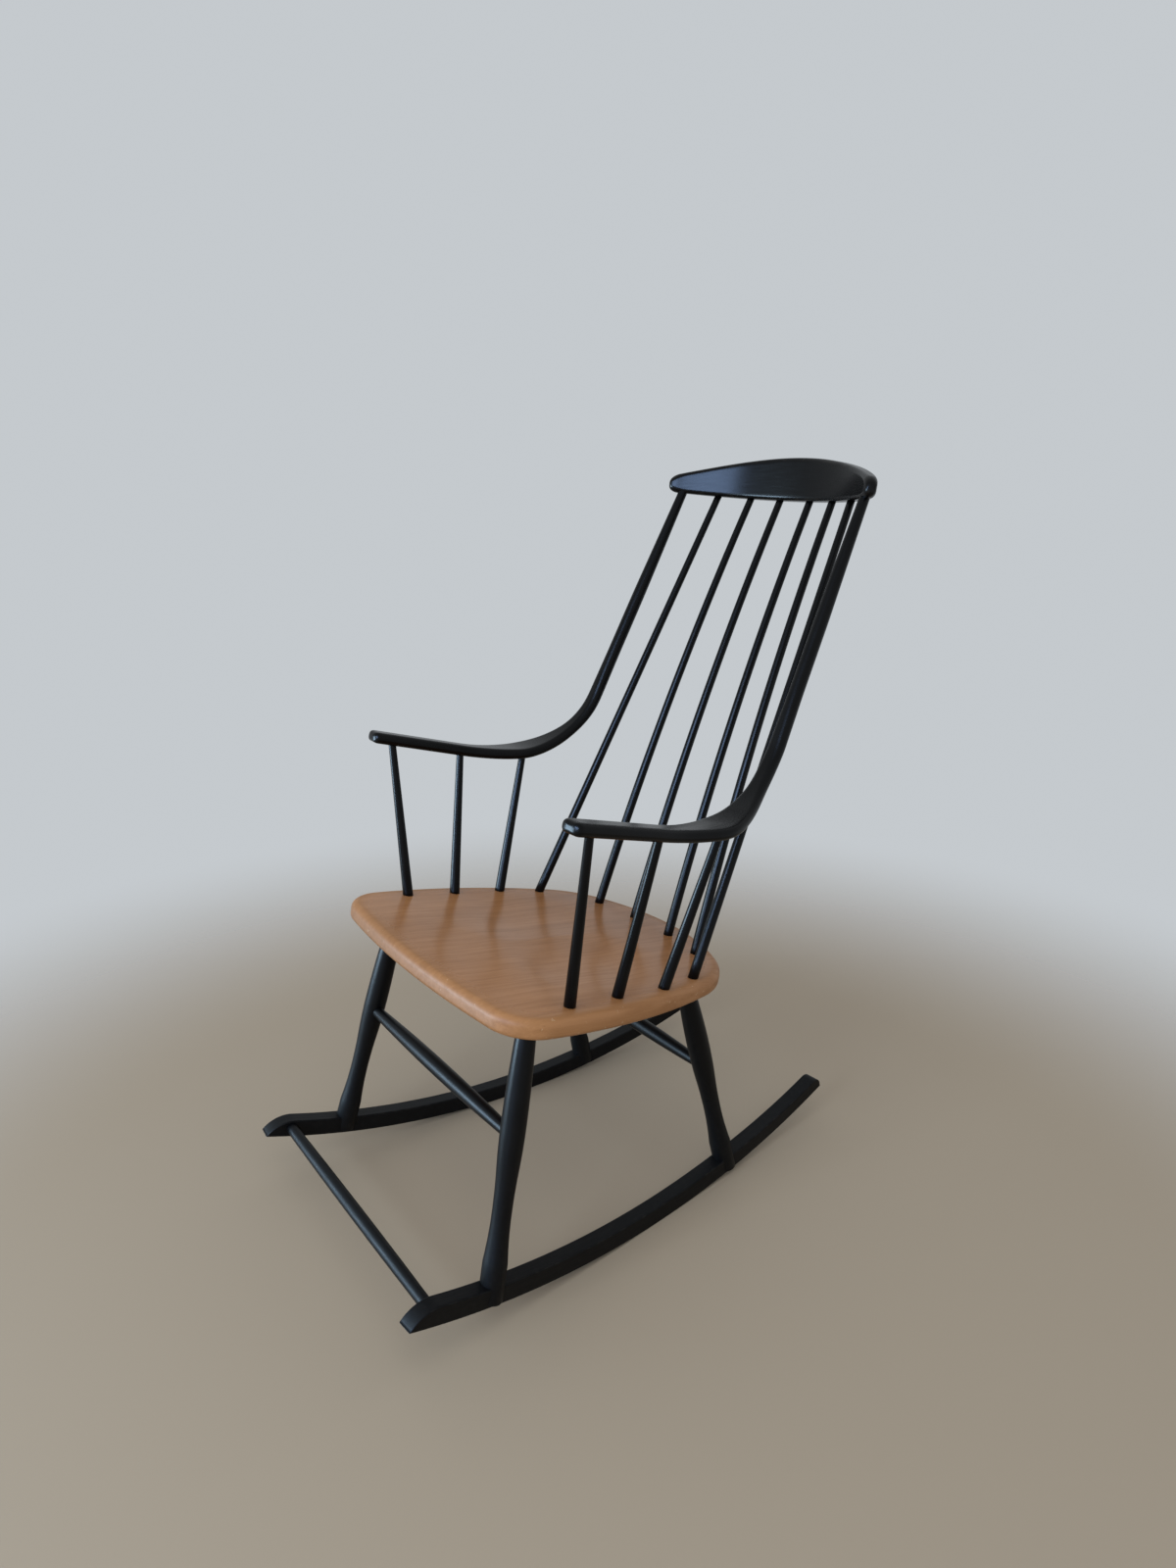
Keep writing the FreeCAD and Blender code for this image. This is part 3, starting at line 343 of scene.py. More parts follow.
def swelling_bar(left, inset, tenon, end_radius, swell_radius):
    """Level bar from an inset inside a left point to its mirror place: straight in its sockets, and
    between them its radius rises to the middle by one less the square of the share of the way from it.
    """
    start = left - np.array([inset, 0.0, 0.0])
    end = start * np.array([-1.0, 1.0, 1.0])
    length = np.linalg.norm(end - start)
    distances = np.concatenate([[0.0], np.linspace(tenon, length - tenon, BAR_RINGS), [length]])
    share = np.clip(abs(distances - length / 2) / (length / 2 - tenon), 0.0, 1.0)
    return turning(start, end, distances, end_radius + (swell_radius - end_radius) * (1 - share ** 2))


def tapered_spindle(foot, top, radii, into_top):
    """Straight spindle whose radius runs evenly from foot to top, sunk a little into what holds it."""
    length = np.linalg.norm(top - foot)
    distances = np.linspace(-INTO_SEAT, length + into_top, SPINDLE_RINGS)
    share = np.clip(distances / length, 0.0, 1.0)
    return turning(foot, top, distances, radii[0] + (radii[1] - radii[0]) * share)


def bowed_spindle(foot, top, bow, radii):
    """Spindle bent forward on a circular arc from foot to top.

    The arc's radius follows from its chord and its bow. Each ring lies square to the arc: one of
    its axes points out from the arc's centre, the other goes across the chair.
    """
    way = unit(top - foot)
    toward = unit(FORWARD - way * way.dot(FORWARD))
    across = np.cross(toward, way)
    half = np.linalg.norm(top - foot) / 2
    radius = (half ** 2 + bow ** 2) / (2 * bow)
    half_angle = math.asin(half / radius)
    centre = (foot + top) / 2 - toward * (radius - bow)
    first_angle = -half_angle - INTO_SEAT / radius
    last_angle = half_angle + INTO_CREST / radius
    angle = np.linspace(first_angle, last_angle, BOWED_SPINDLE_RINGS)
    share = np.clip((angle / half_angle + 1) / 2, 0.0, 1.0)
    outward = np.cos(angle)[:, None] * toward + np.sin(angle)[:, None] * way
    size = (radii[0] + (radii[1] - radii[0]) * share)[:, None, None]
    turn = np.linspace(0.0, 2 * math.pi, ROUND_STEPS, endpoint=False)[None, :, None]
    spokes = np.cos(turn) * outward[:, None, :] + np.sin(turn) * across
    return centre + radius * outward[:, None, :] + size * spokes


def leg_ends(row, side):
    """Foot and top of a leg's axis: on the rocker's middle arc and on the seat's underside."""
    inset, backward = LEG_TOPS[row]
    top = seat_point(side * (SEAT_HALF_WIDTH - inset), backward, -SEAT_THICKNESS)
    return rocker_middle(side, LEG_FEET[row]), top


def leg_radius(height, length):
    """Turned leg's radius by height: straight foot, then squared shares of the way carry it down
    to the waist, up to the swell in two halves that meet in slope, and down to the seat.
    """
    between = (LEG_WAIST_HEIGHT + LEG_SWELL_HEIGHT) / 2
    half_rise = (LEG_SWELL_RADIUS - LEG_WAIST_RADIUS) / 2
    into_waist = ((LEG_WAIST_HEIGHT - height) / (LEG_WAIST_HEIGHT - LEG_FOOT_HEIGHT)) ** 2
    from_waist = ((height - LEG_WAIST_HEIGHT) / (between - LEG_WAIST_HEIGHT)) ** 2
    into_swell = ((LEG_SWELL_HEIGHT - height) / (LEG_SWELL_HEIGHT - between)) ** 2
    from_swell = np.clip((height - LEG_SWELL_HEIGHT) / (length - LEG_SWELL_HEIGHT), 0.0, 1.0) ** 2
    return np.select(
        [
            height <= LEG_FOOT_HEIGHT,
            height <= LEG_WAIST_HEIGHT,
            height <= between,
            height <= LEG_SWELL_HEIGHT,
        ],
        [
            np.full_like(height, LEG_FOOT_RADIUS),
            LEG_WAIST_RADIUS + (LEG_FOOT_RADIUS - LEG_WAIST_RADIUS) * into_waist,
            LEG_WAIST_RADIUS + half_rise * from_waist,
            LEG_SWELL_RADIUS - half_rise * into_swell,
        ],
        LEG_SWELL_RADIUS - (LEG_SWELL_RADIUS - LEG_TOP_RADIUS) * from_swell,
    )


def leg_rings(row, side):
    """Turned leg whose foot ends on an arc just inside the rocker's bottom arc.

    Each line of the turning meets that arc where its distance from the rocker's centre equals the
    arc's radius: a quadratic in the distance along the leg, of which the lower root is taken.
    """
    foot, top = leg_ends(row, side)
    length = np.linalg.norm(top - foot)
    way = unit(top - foot)
    spokes = circle_about(way)
    heights = np.concatenate([
        np.linspace(LEG_BODY_START, LEG_FOOT_HEIGHT, LEG_FOOT_RINGS),
        np.linspace(LEG_FOOT_HEIGHT, length, LEG_RINGS)[1:],
        [length + INTO_SEAT],
    ])
    body = turning(foot, top, heights, leg_radius(heights, length))

    def cut_ring(radius, lift):
        """Where the lines of one radius meet the arc, lifted a little along the leg."""
        shifted = foot + radius * spokes - np.array([side * ROCKER_SPREAD / 2, 0.0, 0.0])
        point = rocker_turned(-side, shifted)
        line = rocker_turned(-side, way)
        below = ROCKER_RADIUS - point[:, 2]
        a = line[1] ** 2 + line[2] ** 2
        b = 2 * (point[:, 1] * line[1] - below * line[2])
        c = point[:, 1] ** 2 + below ** 2 - (ROCKER_RADIUS - LEG_FOOT_CLEAR) ** 2
        reach = (-b - np.sqrt(b ** 2 - 4 * a * c)) / (2 * a)
        return foot + radius * spokes + (reach + lift)[:, None] * way

    part_soft = LEG_FOOT_SOFT_SHARE * LEG_FOOT_SOFT
    lower = np.stack([
        cut_ring(LEG_FOOT_RADIUS - LEG_FOOT_SOFT, 0.0),
        cut_ring(LEG_FOOT_RADIUS - part_soft, part_soft),
        cut_ring(LEG_FOOT_RADIUS, LEG_FOOT_SOFT),
    ])
    return np.concatenate([lower, body])


# Rounded bars

CORNER_LIMIT = 0.99
FLAT_END = 0.06


def rounded_rectangles(half_wide, half_tall, corner):
    """Rounded rectangles, one per station, as stations by points round by two.

    Each corner is a quarter circle about a centre that lies in from the corner by its radius.
    After it come two points near the ends of the flat that follows, so that flats look flat.
    """
    signs = np.array([[1, 1], [-1, 1], [-1, -1], [1, -1]], dtype=float)
    halves = np.stack([half_wide, half_tall], axis=-1)[:, None, None, :]
    corner = np.minimum(corner, CORNER_LIMIT * np.minimum(half_wide, half_tall))[:, None, None, None]
    quarter = np.linspace(0.0, 90.0, CORNER_STEPS + 1)
    angle = np.radians(quarter[None, :] + np.array([0.0, 90.0, 180.0, 270.0])[:, None])
    spokes = np.stack([np.cos(angle), np.sin(angle)], axis=-1)[None]
    arcs = signs[None, :, None, :] * (halves - corner) + corner * spokes
    ends = arcs[:, :, -1]
    following = np.roll(arcs[:, :, 0], -1, axis=1)
    near = ends + FLAT_END * (following - ends)
    far = following + FLAT_END * (ends - following)
    rings = np.concatenate([arcs, near[:, :, None], far[:, :, None]], axis=2)
    return rings.reshape(len(half_wide), -1, 2)


def corner_marks(rings):
    """One at the middle of each rounded corner of a bar, falling by a sine to nothing on its flats."""
    one_corner = np.concatenate([np.sin(np.linspace(0.0, math.pi, CORNER_STEPS + 1)), [0.0, 0.0]])
    return {"edge": np.tile(one_corner, (len(rings), 4))}


def rocker_rings(side):
    """Rocker: rounded rectangles that stand on the bottom arc and point to its centre.

    Along the top the depth is even, and slims by a smooth cubic step towards the back. At the nose
    it falls on a circle that starts level with the top, and at the heel on a quarter circle. The
    last stations draw in to soften the end.
    """
    nose_share = np.sin(np.linspace(math.pi / 2, 0.0, ROCKER_NOSE_RINGS))
    nose_back = -(ROCKER_FRONT - ROCKER_NOSE)
    heel_share = np.sin(np.linspace(0.0, math.pi / 2, ROCKER_HEEL_RINGS))
    heel_start = ROCKER_BACK - ROCKER_HEEL_ROUND
    backward = np.concatenate([
        nose_back - ROCKER_NOSE * nose_share,
        np.linspace(nose_back, heel_start, ROCKER_RINGS)[1:-1],
        heel_start + ROCKER_HEEL_ROUND * heel_share,
    ])
    nose_radius = (ROCKER_NOSE ** 2 + ROCKER_DEPTH ** 2) / (2 * ROCKER_DEPTH)
    past_nose = np.clip(nose_back - backward, 0.0, ROCKER_NOSE)
    past_heel = np.clip(backward - heel_start, 0.0, ROCKER_HEEL_ROUND)
    nose_fall = nose_radius - np.sqrt(nose_radius ** 2 - past_nose ** 2)
    heel_fall = ROCKER_HEEL_ROUND - np.sqrt(ROCKER_HEEL_ROUND ** 2 - past_heel ** 2)
    slim = smooth_step((backward - ROCKER_SLIM_START) / (ROCKER_BACK - ROCKER_SLIM_START))
    slim_fall = ROCKER_SLIM_LOSS * slim
    depth = np.maximum(ROCKER_DEPTH - nose_fall - heel_fall - slim_fall, ROCKER_TIP)
    to_end = np.minimum(ROCKER_BACK - backward, backward + ROCKER_FRONT)
    left_over = np.clip(ROCKER_EDGE_ROUND - to_end, 0.0, ROCKER_EDGE_ROUND)
    draw_in = ROCKER_EDGE_ROUND - np.sqrt(ROCKER_EDGE_ROUND ** 2 - left_over ** 2)
    half_tall = np.maximum(depth / 2 - draw_in, ROCKER_TIP / 4)
    flat = rounded_rectangles(np.full_like(depth, ROCKER_THICKNESS / 2) - draw_in, half_tall,
                              np.full_like(depth, ROCKER_EDGE_ROUND))
    radius = ROCKER_RADIUS - depth[:, None] / 2 - flat[:, :, 1]
    angle = np.arcsin(backward / ROCKER_RADIUS)[:, None]
    height = ROCKER_RADIUS - radius * np.cos(angle)
    return rocker_placed(side, np.stack([flat[:, :, 0], radius * np.sin(angle), height], axis=-1))


def crest_rings():
    """Crest rail: rounded rectangles that stand on its bow, as tall as its arch at each place.

    The arch is a circle through the middle rise and the rise at the ends. The rail thins towards its
    ends by the square of the share of the way, all on its front side. Near the ends height and
    thickness draw in by the side of a quarter ellipse, and the corners grow rounder by the square of
    the nearness to the end.
    """
    end_angle = math.asin(CREST_HALF_LENGTH / CREST_BOW_RADIUS)
    round_angle = CREST_END_ROUND / CREST_BOW_RADIUS
    ease = round_angle * (1 - np.cos(np.linspace(0.0, math.pi / 2, CREST_END_RINGS)))
    even_angle = end_angle - round_angle
    between = np.linspace(-even_angle, even_angle, CREST_RINGS)[1:-1]
    angle = np.concatenate([-end_angle + ease, between, (end_angle - ease)[::-1]])
    inward = np.clip((end_angle - abs(angle)) / round_angle, 0.0, 1.0)
    fullness = np.sqrt(1 - (1 - inward) ** 2)
    drop = CREST_RISE - CREST_END_RISE
    arch_radius = (CREST_HALF_LENGTH ** 2 + drop ** 2) / (2 * drop)
    across = CREST_BOW_RADIUS * np.sin(angle)
    full = CREST_RISE - arch_radius + np.sqrt(arch_radius ** 2 - across ** 2)
    tall_share = CREST_END_TALL + (1 - CREST_END_TALL) * fullness
    thick_share = CREST_END_THICK + (1 - CREST_END_THICK) * fullness
    softened = np.clip(1 - (end_angle - abs(angle)) * CREST_BOW_RADIUS / CREST_END_SOFT, 0.0, 1.0) ** 2
    corner = CREST_EDGE_ROUND + (CREST_END_CORNER - CREST_EDGE_ROUND) * softened
    thinning = CREST_THINNING * (angle / end_angle) ** 2
    flat = rounded_rectangles((CREST_THICKNESS - thinning) / 2 * thick_share, full / 2 * tall_share, corner)
    radius = CREST_BOW_RADIUS + thinning[:, None] / 2 + flat[:, :, 0]
    turn = angle[:, None]
    height = full[:, None] / 2 + flat[:, :, 1]
    backward = radius * np.cos(turn) - CREST_BOW_RADIUS
    return crest_placed(np.stack([radius * np.sin(turn), backward, height], axis=-1))


# Arm posts

def arc_carry(radius, start, end):
    """How far back and up an arc carries between two angles of climb: its radius times the rise of
    their sine, and times the fall of their cosine.
    """
    back = radius * (np.sin(end) - np.sin(start))
    up = radius * (np.cos(start) - np.cos(end))
    return np.stack([back, up], axis=-1)


ARM_START = -math.radians(ARM_PITCH)
ARM_EASED = ARM_START + math.radians(EASE_TURN)
POST_CLIMB = math.radians(90 - POST_LEAN)
ARM_TIP = np.array([-ARM_TIP_FORWARD, ARM_TIP_HEIGHT])
POST_TOP = crest_foot(CREST_HALF_POST_SPREAD)[1:]
STRAIGHT_REACH = (POST_TOP - ARM_TIP - arc_carry(EASE_RADIUS, ARM_START, ARM_EASED)
                  - arc_carry(BEND_RADIUS, ARM_EASED, POST_CLIMB))
# The straight arm and the straight post fill what the arcs leave: two linear equations in their lengths
ARM_WAY = np.array([math.cos(ARM_START), math.sin(ARM_START)])
POST_WAY = np.array([math.cos(POST_CLIMB), math.sin(POST_CLIMB)])
ARM_RUN, POST_RUN = np.linalg.solve(np.stack([ARM_WAY, POST_WAY], axis=1), STRAIGHT_REACH)
EASE_RUN = EASE_RADIUS * (ARM_EASED - ARM_START)
BEND_RUN = BEND_RADIUS * (POST_CLIMB - ARM_EASED)
BEND_START = ARM_RUN + EASE_RUN
POST_START = BEND_START + BEND_RUN
ARM_LENGTH = POST_START + POST_RUN


def arm_line(distance):
    """Left arm post's centre line and climb by distance from the tip.

    In side view: a straight arm, an easy arc, a tighter arc and a straight post, laid end to end.
    Seen from above, the arm's own straight line passes into the post's by a smooth cubic step
    over most of the tighter arc.
    """
    distance = np.asarray(distance, dtype=float)
    eased = ARM_START + np.clip(distance - ARM_RUN, 0.0, EASE_RUN) / EASE_RADIUS
    climb = eased + np.clip(distance - BEND_START, 0.0, BEND_RUN) / BEND_RADIUS
    side_view = ARM_TIP + np.minimum(distance, ARM_RUN)[..., None] * ARM_WAY
    side_view = side_view + arc_carry(EASE_RADIUS, ARM_START, eased) + arc_carry(BEND_RADIUS, eased, climb)
    side_view = side_view + np.maximum(distance - POST_START, 0.0)[..., None] * POST_WAY
    arm_x = ARM_TIP_HALF_SPREAD - distance * math.sin(math.radians(ARM_TOE_IN))
    post_x = CREST_HALF_POST_SPREAD + (ARM_LENGTH - distance) * math.sin(math.radians(POST_FLARE))
    step = smooth_step((distance - BEND_START) / (BEND_RUN * CLOSING_SHARE))
    return np.concatenate([(arm_x + step * (post_x - arm_x))[..., None], side_view], axis=-1), climb


# Distance from the tip, width and thickness: arm, start of the widening, shoulder, bend and post
ARM_STATIONS = np.array([
    [0.0, ARM_WIDTH, ARM_THICKNESS],
    [ARM_RUN + EASE_RUN * WIDENING_SHARE, ARM_WIDTH, ARM_THICKNESS],
    [BEND_START + BEND_RUN * SHOULDER_SHARE, SHOULDER_WIDTH, BEND_THICKNESS],
    [BEND_START + BEND_RUN * BEND_SHARE, BEND_WIDTH, BEND_THICKNESS],
    [POST_START + POST_RUN * POST_FOOT_SHARE, POST_FOOT_SIZE, POST_FOOT_SIZE],
    [POST_START + POST_RUN * POST_MIDDLE_SHARE, POST_MIDDLE_SIZE, POST_MIDDLE_SIZE],
    [ARM_LENGTH, POST_TOP_SIZE, POST_TOP_SIZE],
])
STATION_PLACES, STATION_WIDTHS, STATION_THICKNESSES = ARM_STATIONS.T


def arm_size(distance, sizes):
    """Width or thickness of the arm post: even between stations, then averaged with bell weights."""
    offsets = np.linspace(-BLUR_REACH, BLUR_REACH, BLUR_STEPS)
    weights = np.exp(-offsets ** 2 / 2)
    around = distance[:, None] + ARM_BLUR * offsets
    return np.interp(around, STATION_PLACES, sizes) @ weights / weights.sum()


def arm_post_rings(side):
    """Arm and back post bent from one stick: rounded rectangles square to its centre line.

    At the tip width and thickness draw in as one less a power of the share of the nose that is
    left, to the same root, which gives a blunt round nose.
    """
    nose = ARM_NOSE * (1 - np.cos(np.linspace(ARM_NOSE_START, math.pi / 2, ARM_NOSE_RINGS)))
    even = np.linspace(ARM_NOSE, ARM_LENGTH + POST_INTO_CREST, ARM_RINGS)[1:]
    distance = np.concatenate([nose, even])
    middle, climb = arm_line(distance)
    way = unit(np.gradient(middle, axis=0))
    up = np.stack([np.zeros_like(climb), -np.sin(climb), np.cos(climb)], axis=-1)
    across = unit(np.cross(up, way))
    up = unit(np.cross(way, across))
    left = np.clip(1 - distance / ARM_NOSE, 0.0, 1.0)
    fullness = (1 - left ** ARM_NOSE_POWER) ** (1 / ARM_NOSE_POWER)
    width = arm_size(distance, STATION_WIDTHS) * fullness
    thickness = arm_size(distance, STATION_THICKNESSES) * fullness
    post_foot = POST_START + POST_RUN * POST_FOOT_SHARE
    roundness = np.interp(distance, [BEND_START, post_foot], [ARM_CORNER_SHARE, POST_CORNER_SHARE])
    flat = rounded_rectangles(width / 2, thickness / 2, roundness * thickness)
    rings = middle[:, None, :] + flat[:, :, :1] * across[:, None, :] + flat[:, :, 1:] * up[:, None, :]
    return rings * np.array([side, 1.0, 1.0])


# Seat

def circle_through(first, second, third):
    """Centre and radius of the circle through three points of the seat's plane.

    The centre is as far from the first point as from the others: two linear equations.
    """
    rows = 2 * np.stack([second - first, third - first])
    squares = np.array([second @ second - first @ first, third @ third - first @ first])
    centre = np.linalg.solve(rows, squares)
    return centre, np.linalg.norm(first - centre)


def corner_circle(one, other, radius, near):
    """Centre of a rounded corner inside two larger circles that it touches.

    It lies as far from each centre as that circle's radius less its own: the crossing of two
    circles, of which the one nearer to the given corner is taken.
    """
    (centre, size), (other_centre, other_size) = one, other
    reach, other_reach = size - radius, other_size - radius
    apart = np.linalg.norm(other_centre - centre)
    way = (other_centre - centre) / apart
    along = (apart ** 2 + reach ** 2 - other_reach ** 2) / (2 * apart)
    aside = math.sqrt(reach ** 2 - along ** 2) * np.array([-way[1], way[0]])
    choices = [centre + along * way + aside, centre + along * way - aside]
    return min(choices, key=lambda point: np.linalg.norm(point - near))


def arc_between(centre, radius, start, end, steps):
    """Evenly spaced points of a circle from the direction of one point to that of another."""
    first = math.atan2(start[1] - centre[1], start[0] - centre[0])
    sweep = math.atan2(end[1] - centre[1], end[0] - centre[0]) - first
    sweep = (sweep + math.pi) % (2 * math.pi) - math.pi
    angle = first + sweep * np.linspace(0.0, 1.0, steps)
    return centre + radius * np.stack([np.cos(angle), np.sin(angle)], axis=-1)


def seat_outline():
    """Seat's outline and its outward directions: three arcs a side, joined by rounded corners.

    The front, side and back arcs each pass through three points. A corner touches an arc where
    the line between their centres meets it. The other side mirrors this one.
    """
    front_corner = np.array([SEAT_HALF_WIDTH - SEAT_FRONT_PINCH, SEAT_FRONT_BOW - SEAT_FRONT])
    back_corner = np.array([SEAT_HALF_WIDTH - SEAT_BACK_PINCH, SEAT_BACK - SEAT_BACK_BOW])
    front_middle = np.array([0.0, -SEAT_FRONT])
    back_middle = np.array([0.0, SEAT_BACK])
    mirror = np.array([-1.0, 1.0])
    front = circle_through(front_corner, front_middle, front_corner * mirror)
    side = circle_through(front_corner, np.array([SEAT_HALF_WIDTH, -SEAT_WIDEST]), back_corner)
    back = circle_through(back_corner, back_middle, back_corner * mirror)
    near_front = corner_circle(front, side, SEAT_FRONT_CORNER, front_corner)
    near_back = corner_circle(side, back, SEAT_BACK_CORNER, back_corner)
    arcs = [
        (*front, front_middle, near_front),
        (near_front, SEAT_FRONT_CORNER, 2 * near_front - front[0], 2 * near_front - side[0]),
        (*side, near_front, near_back),
        (near_back, SEAT_BACK_CORNER, 2 * near_back - side[0], 2 * near_back - back[0]),
        (*back, near_back, back_middle),
    ]
    runs = [arc_between(*arc, steps) for arc, steps in zip(arcs, OUTLINE_STEPS)]
    ways = [unit(run - arc[0]) for run, arc in zip(runs, arcs)]
    half = np.concatenate([run[:-1] for run in runs] + [runs[-1][-1:]])
    outward = np.concatenate([way[:-1] for way in ways] + [ways[-1][-1:]])
    points = np.concatenate([half, half[-2:0:-1] * mirror])
    return points, np.concatenate([outward, outward[-2:0:-1] * mirror])


def seat_hollow(across, backward):
    """Depth of the two shallow hollows: one less the squared share of its radius, to a power of its own."""
    share = ((abs(across) - HOLLOW_ACROSS) ** 2 + (backward + HOLLOW_FORWARD) ** 2) / HOLLOW_RADIUS ** 2
    return HOLLOW_DEPTH * np.clip(1 - share, 0.0, 1.0) ** HOLLOW_POWER


def seat_wave(across, backward):
    """Slight waves of a hand-finished top, that bend what is mirrored in it: a cosine along an
    oblique way, as far above the flat as below it.
    """
    phase = 2 * math.pi * (WAVE_WAY[0] * across + WAVE_WAY[1] * backward) / WAVE_LENGTH
    return WAVE_DEPTH * np.cos(phase) / 2


def seat_rings():
    """Seat board in rings from the middle of its underside, round its edge, to the middle of its top.

    On the edge a ring is the outline drawn in along its own inward directions by the side of a
    quarter circle, and lowered by the other side of it. On the flats a ring is the drawn-in
    outline shrunk towards the middle. Hollows and waves come off the top, and waves fade at the edge.
    The rim's mark grows by a squared sine round the lower edge, is one on the upper edge, and dies
    away over the top by an exponential.
    """
    outline, outward = seat_outline()
    centre = np.array([0.0, -SEAT_WIDEST / 2])
    turn = np.linspace(0.0, math.pi / 2, SEAT_EDGE_RINGS)
    bottom_in = SEAT_BOTTOM_ROUND * (1 - np.sin(turn))
    bottom_up = -SEAT_THICKNESS + SEAT_BOTTOM_ROUND * (1 - np.cos(turn))
    top_in = SEAT_TOP_ROUND * (1 - np.cos(turn))
    top_up = -SEAT_TOP_ROUND * (1 - np.sin(turn))
    drawn_in = np.concatenate([bottom_in, top_in])
    level = np.concatenate([bottom_up, top_up])
    edge = outline[None] - drawn_in[:, None, None] * outward[None]
    inward = np.linspace(0.0, 1.0, TOP_RINGS + 1)[1:]
    top_shares = 1 - inward ** TOP_CROWDING * TOP_REACH
    under = centre + UNDER_SHARES[:, None, None] * (edge[0] - centre)
    top = centre + top_shares[:, None, None] * (edge[-1] - centre)
    plane = np.concatenate([under, edge, top])
    height = np.concatenate([np.full(len(under), -SEAT_THICKNESS), level, np.zeros(len(top))])[:, None]
    height = np.repeat(height, plane.shape[1], axis=1)
    across, backward = np.moveaxis(top, -1, 0)
    inside = smooth_step((1 - top_shares) / WAVE_FADE)[:, None]
    height[-len(top):] -= seat_hollow(across, backward) + inside * seat_wave(across, backward)
    rim = np.concatenate([
        np.zeros(len(under)),
        np.sin(turn) ** 2,
        np.ones(len(turn)),
        np.exp(-RIM_FADE * inward),
    ])
    rim = np.repeat(rim[:, None], plane.shape[1], axis=1)
    return seat_point(plane[:, :, 0], plane[:, :, 1], height), {"rim": rim}


# Finishes

LACQUER_DEEP = (0.0014, 0.0014, 0.0016)
LACQUER_PALE = (0.0027, 0.0027, 0.0030)
LACQUER_RUBBED = (0.013, 0.012, 0.011)
DUST = (0.014, 0.0135, 0.013)
LACQUER_SHINE = 0.15

WOOD_DARK = (0.268, 0.125, 0.052)
WOOD_MIDDLE = (0.306, 0.148, 0.065)
WOOD_PALE = (0.339, 0.168, 0.078)
WOOD_DASH = (0.160, 0.066, 0.026)
WOOD_RIM = (0.36, 0.20, 0.09)
WOOD_CHIP = (0.560, 0.420, 0.280)
WOOD_SHINE = 0.2

# Tints that multiply the wood's colour
CLOUD_DARK = (0.87, 0.85, 0.82)
CLOUD_PALE = (1.08, 1.07, 1.05)
# Painted light and painted shade: the seat's front is painted paler and its back darker, as light falls on
# it.
FRONT_PAINTED_LIGHT = (1.13, 1.12, 1.07)
BACK_PAINTED_SHADE = (0.86, 0.84, 0.82)
FIBRE_DARK = (0.93, 0.92, 0.91)
FIBRE_PALE = (1.02, 1.02, 1.02)
# How often the wood's figures change in a metre: across the seat, along its grain and through it
CLOUD_COUNTS = (7.0, 1.1, 7.0)
GRAIN_COUNTS = (120.0, 5.0, 120.0)
FIBRE_COUNTS = (620.0, 26.0, 620.0)
DASH_COUNTS = (900.0, 48.0, 900.0)

# Sockets of a colour mix: its share, the colour below and the colour above, and its result
MIX_INPUTS = (0, 6, 7)
MIX_RESULT = 2


class Finish:
    """A material's node tree, filled in step by step."""

    def __init__(self, name):
        self.material = bpy.data.materials.new(name)
        self.material.use_nodes = True
        self.tree = self.material.node_tree
        self.shader = self.tree.nodes["Principled BSDF"]
        self.place = self.node("ShaderNodeTexCoord").outputs["Object"]

    def feed(self, socket, value):
        """Link a socket to another node's output, or set it to a plain value."""
        if isinstance(value, bpy.types.NodeSocket):
            self.tree.links.new(value, socket)
        else:
            socket.default_value = value

    def node(self, kind, inputs=None, **settings):
        """A node with its settings and its inputs."""
        made = self.tree.nodes.new(kind)
        for name, value in settings.items():
            setattr(made, name, value)
        for name, value in (inputs or {}).items():
            self.feed(made.inputs[name], value)
        return made

    def stretched(self, scale, turn=(0.0, 0.0, 0.0)):
        """The chair's own coordinates, turned and then scaled along each axis."""
        turned = self.node("ShaderNodeMapping", {"Vector": self.place, "Rotation": turn}).outputs["Vector"]
        return self.node("ShaderNodeMapping", {"Vector": turned, "Scale": scale}).outputs["Vector"]

    def noise(self, vector, scale=1.0, detail=4.0, roughness=0.5, distortion=0.0):
        """Cloudy values between about 0.25 and 0.75."""
        inputs = {
            "Vector": vector,
            "Scale": scale,
            "Detail": detail,
            "Roughness": roughness,
            "Distortion": distortion,
        }
        return self.node("ShaderNodeTexNoise", inputs).outputs["Fac"]

    def ramp(self, value, stops):
        """Colours by value, even between stops."""
        made = self.node("ShaderNodeValToRGB", {"Fac": value})
        elements = made.color_ramp.elements
        while len(elements) < len(stops):
            elements.new(0.5)
        for element, (position, colour) in zip(elements, stops):
            element.position = position
            element.color = (*colour, 1.0)
        return made.outputs["Color"]

    def spread(self, value, given, wanted):
        """A value's given range carried over evenly to the wanted range, and held there."""
        inputs = {
            "Value": value,
            "From Min": given[0],
            "From Max": given[1],
            "To Min": wanted[0],
            "To Max": wanted[1],
        }
        return self.node("ShaderNodeMapRange", inputs, clamp=True).outputs["Result"]

    def times(self, one, other):
        """Two values multiplied."""
        return self.node("ShaderNodeMath", {0: one, 1: other}, operation="MULTIPLY").outputs["Value"]

    def blend(self, share, base, over, kind="MIX"):
        """One colour laid over another."""
        made = self.node("ShaderNodeMix", data_type="RGBA", blend_type=kind)
        for index, value in zip(MIX_INPUTS, (share, base, over)):
            self.feed(made.inputs[index], (*value, 1.0) if isinstance(value, tuple) else value)
        return made.outputs[MIX_RESULT]

    def mark(self, name):
        """A value that the piece carries at each of its points."""
        return self.node("ShaderNodeAttribute", attribute_name=name).outputs["Fac"]

    def use(self, inputs):
        """Link or set the shader's own sockets."""
        for name, value in inputs.items():
            self.feed(self.shader.inputs[name], value)

    def bump(self, height, strength, distance):
        """Shading of small unevenness."""
        inputs = {"Height": height, "Strength": strength, "Distance": distance}
        return self.node("ShaderNodeBump", inputs).outputs["Normal"]


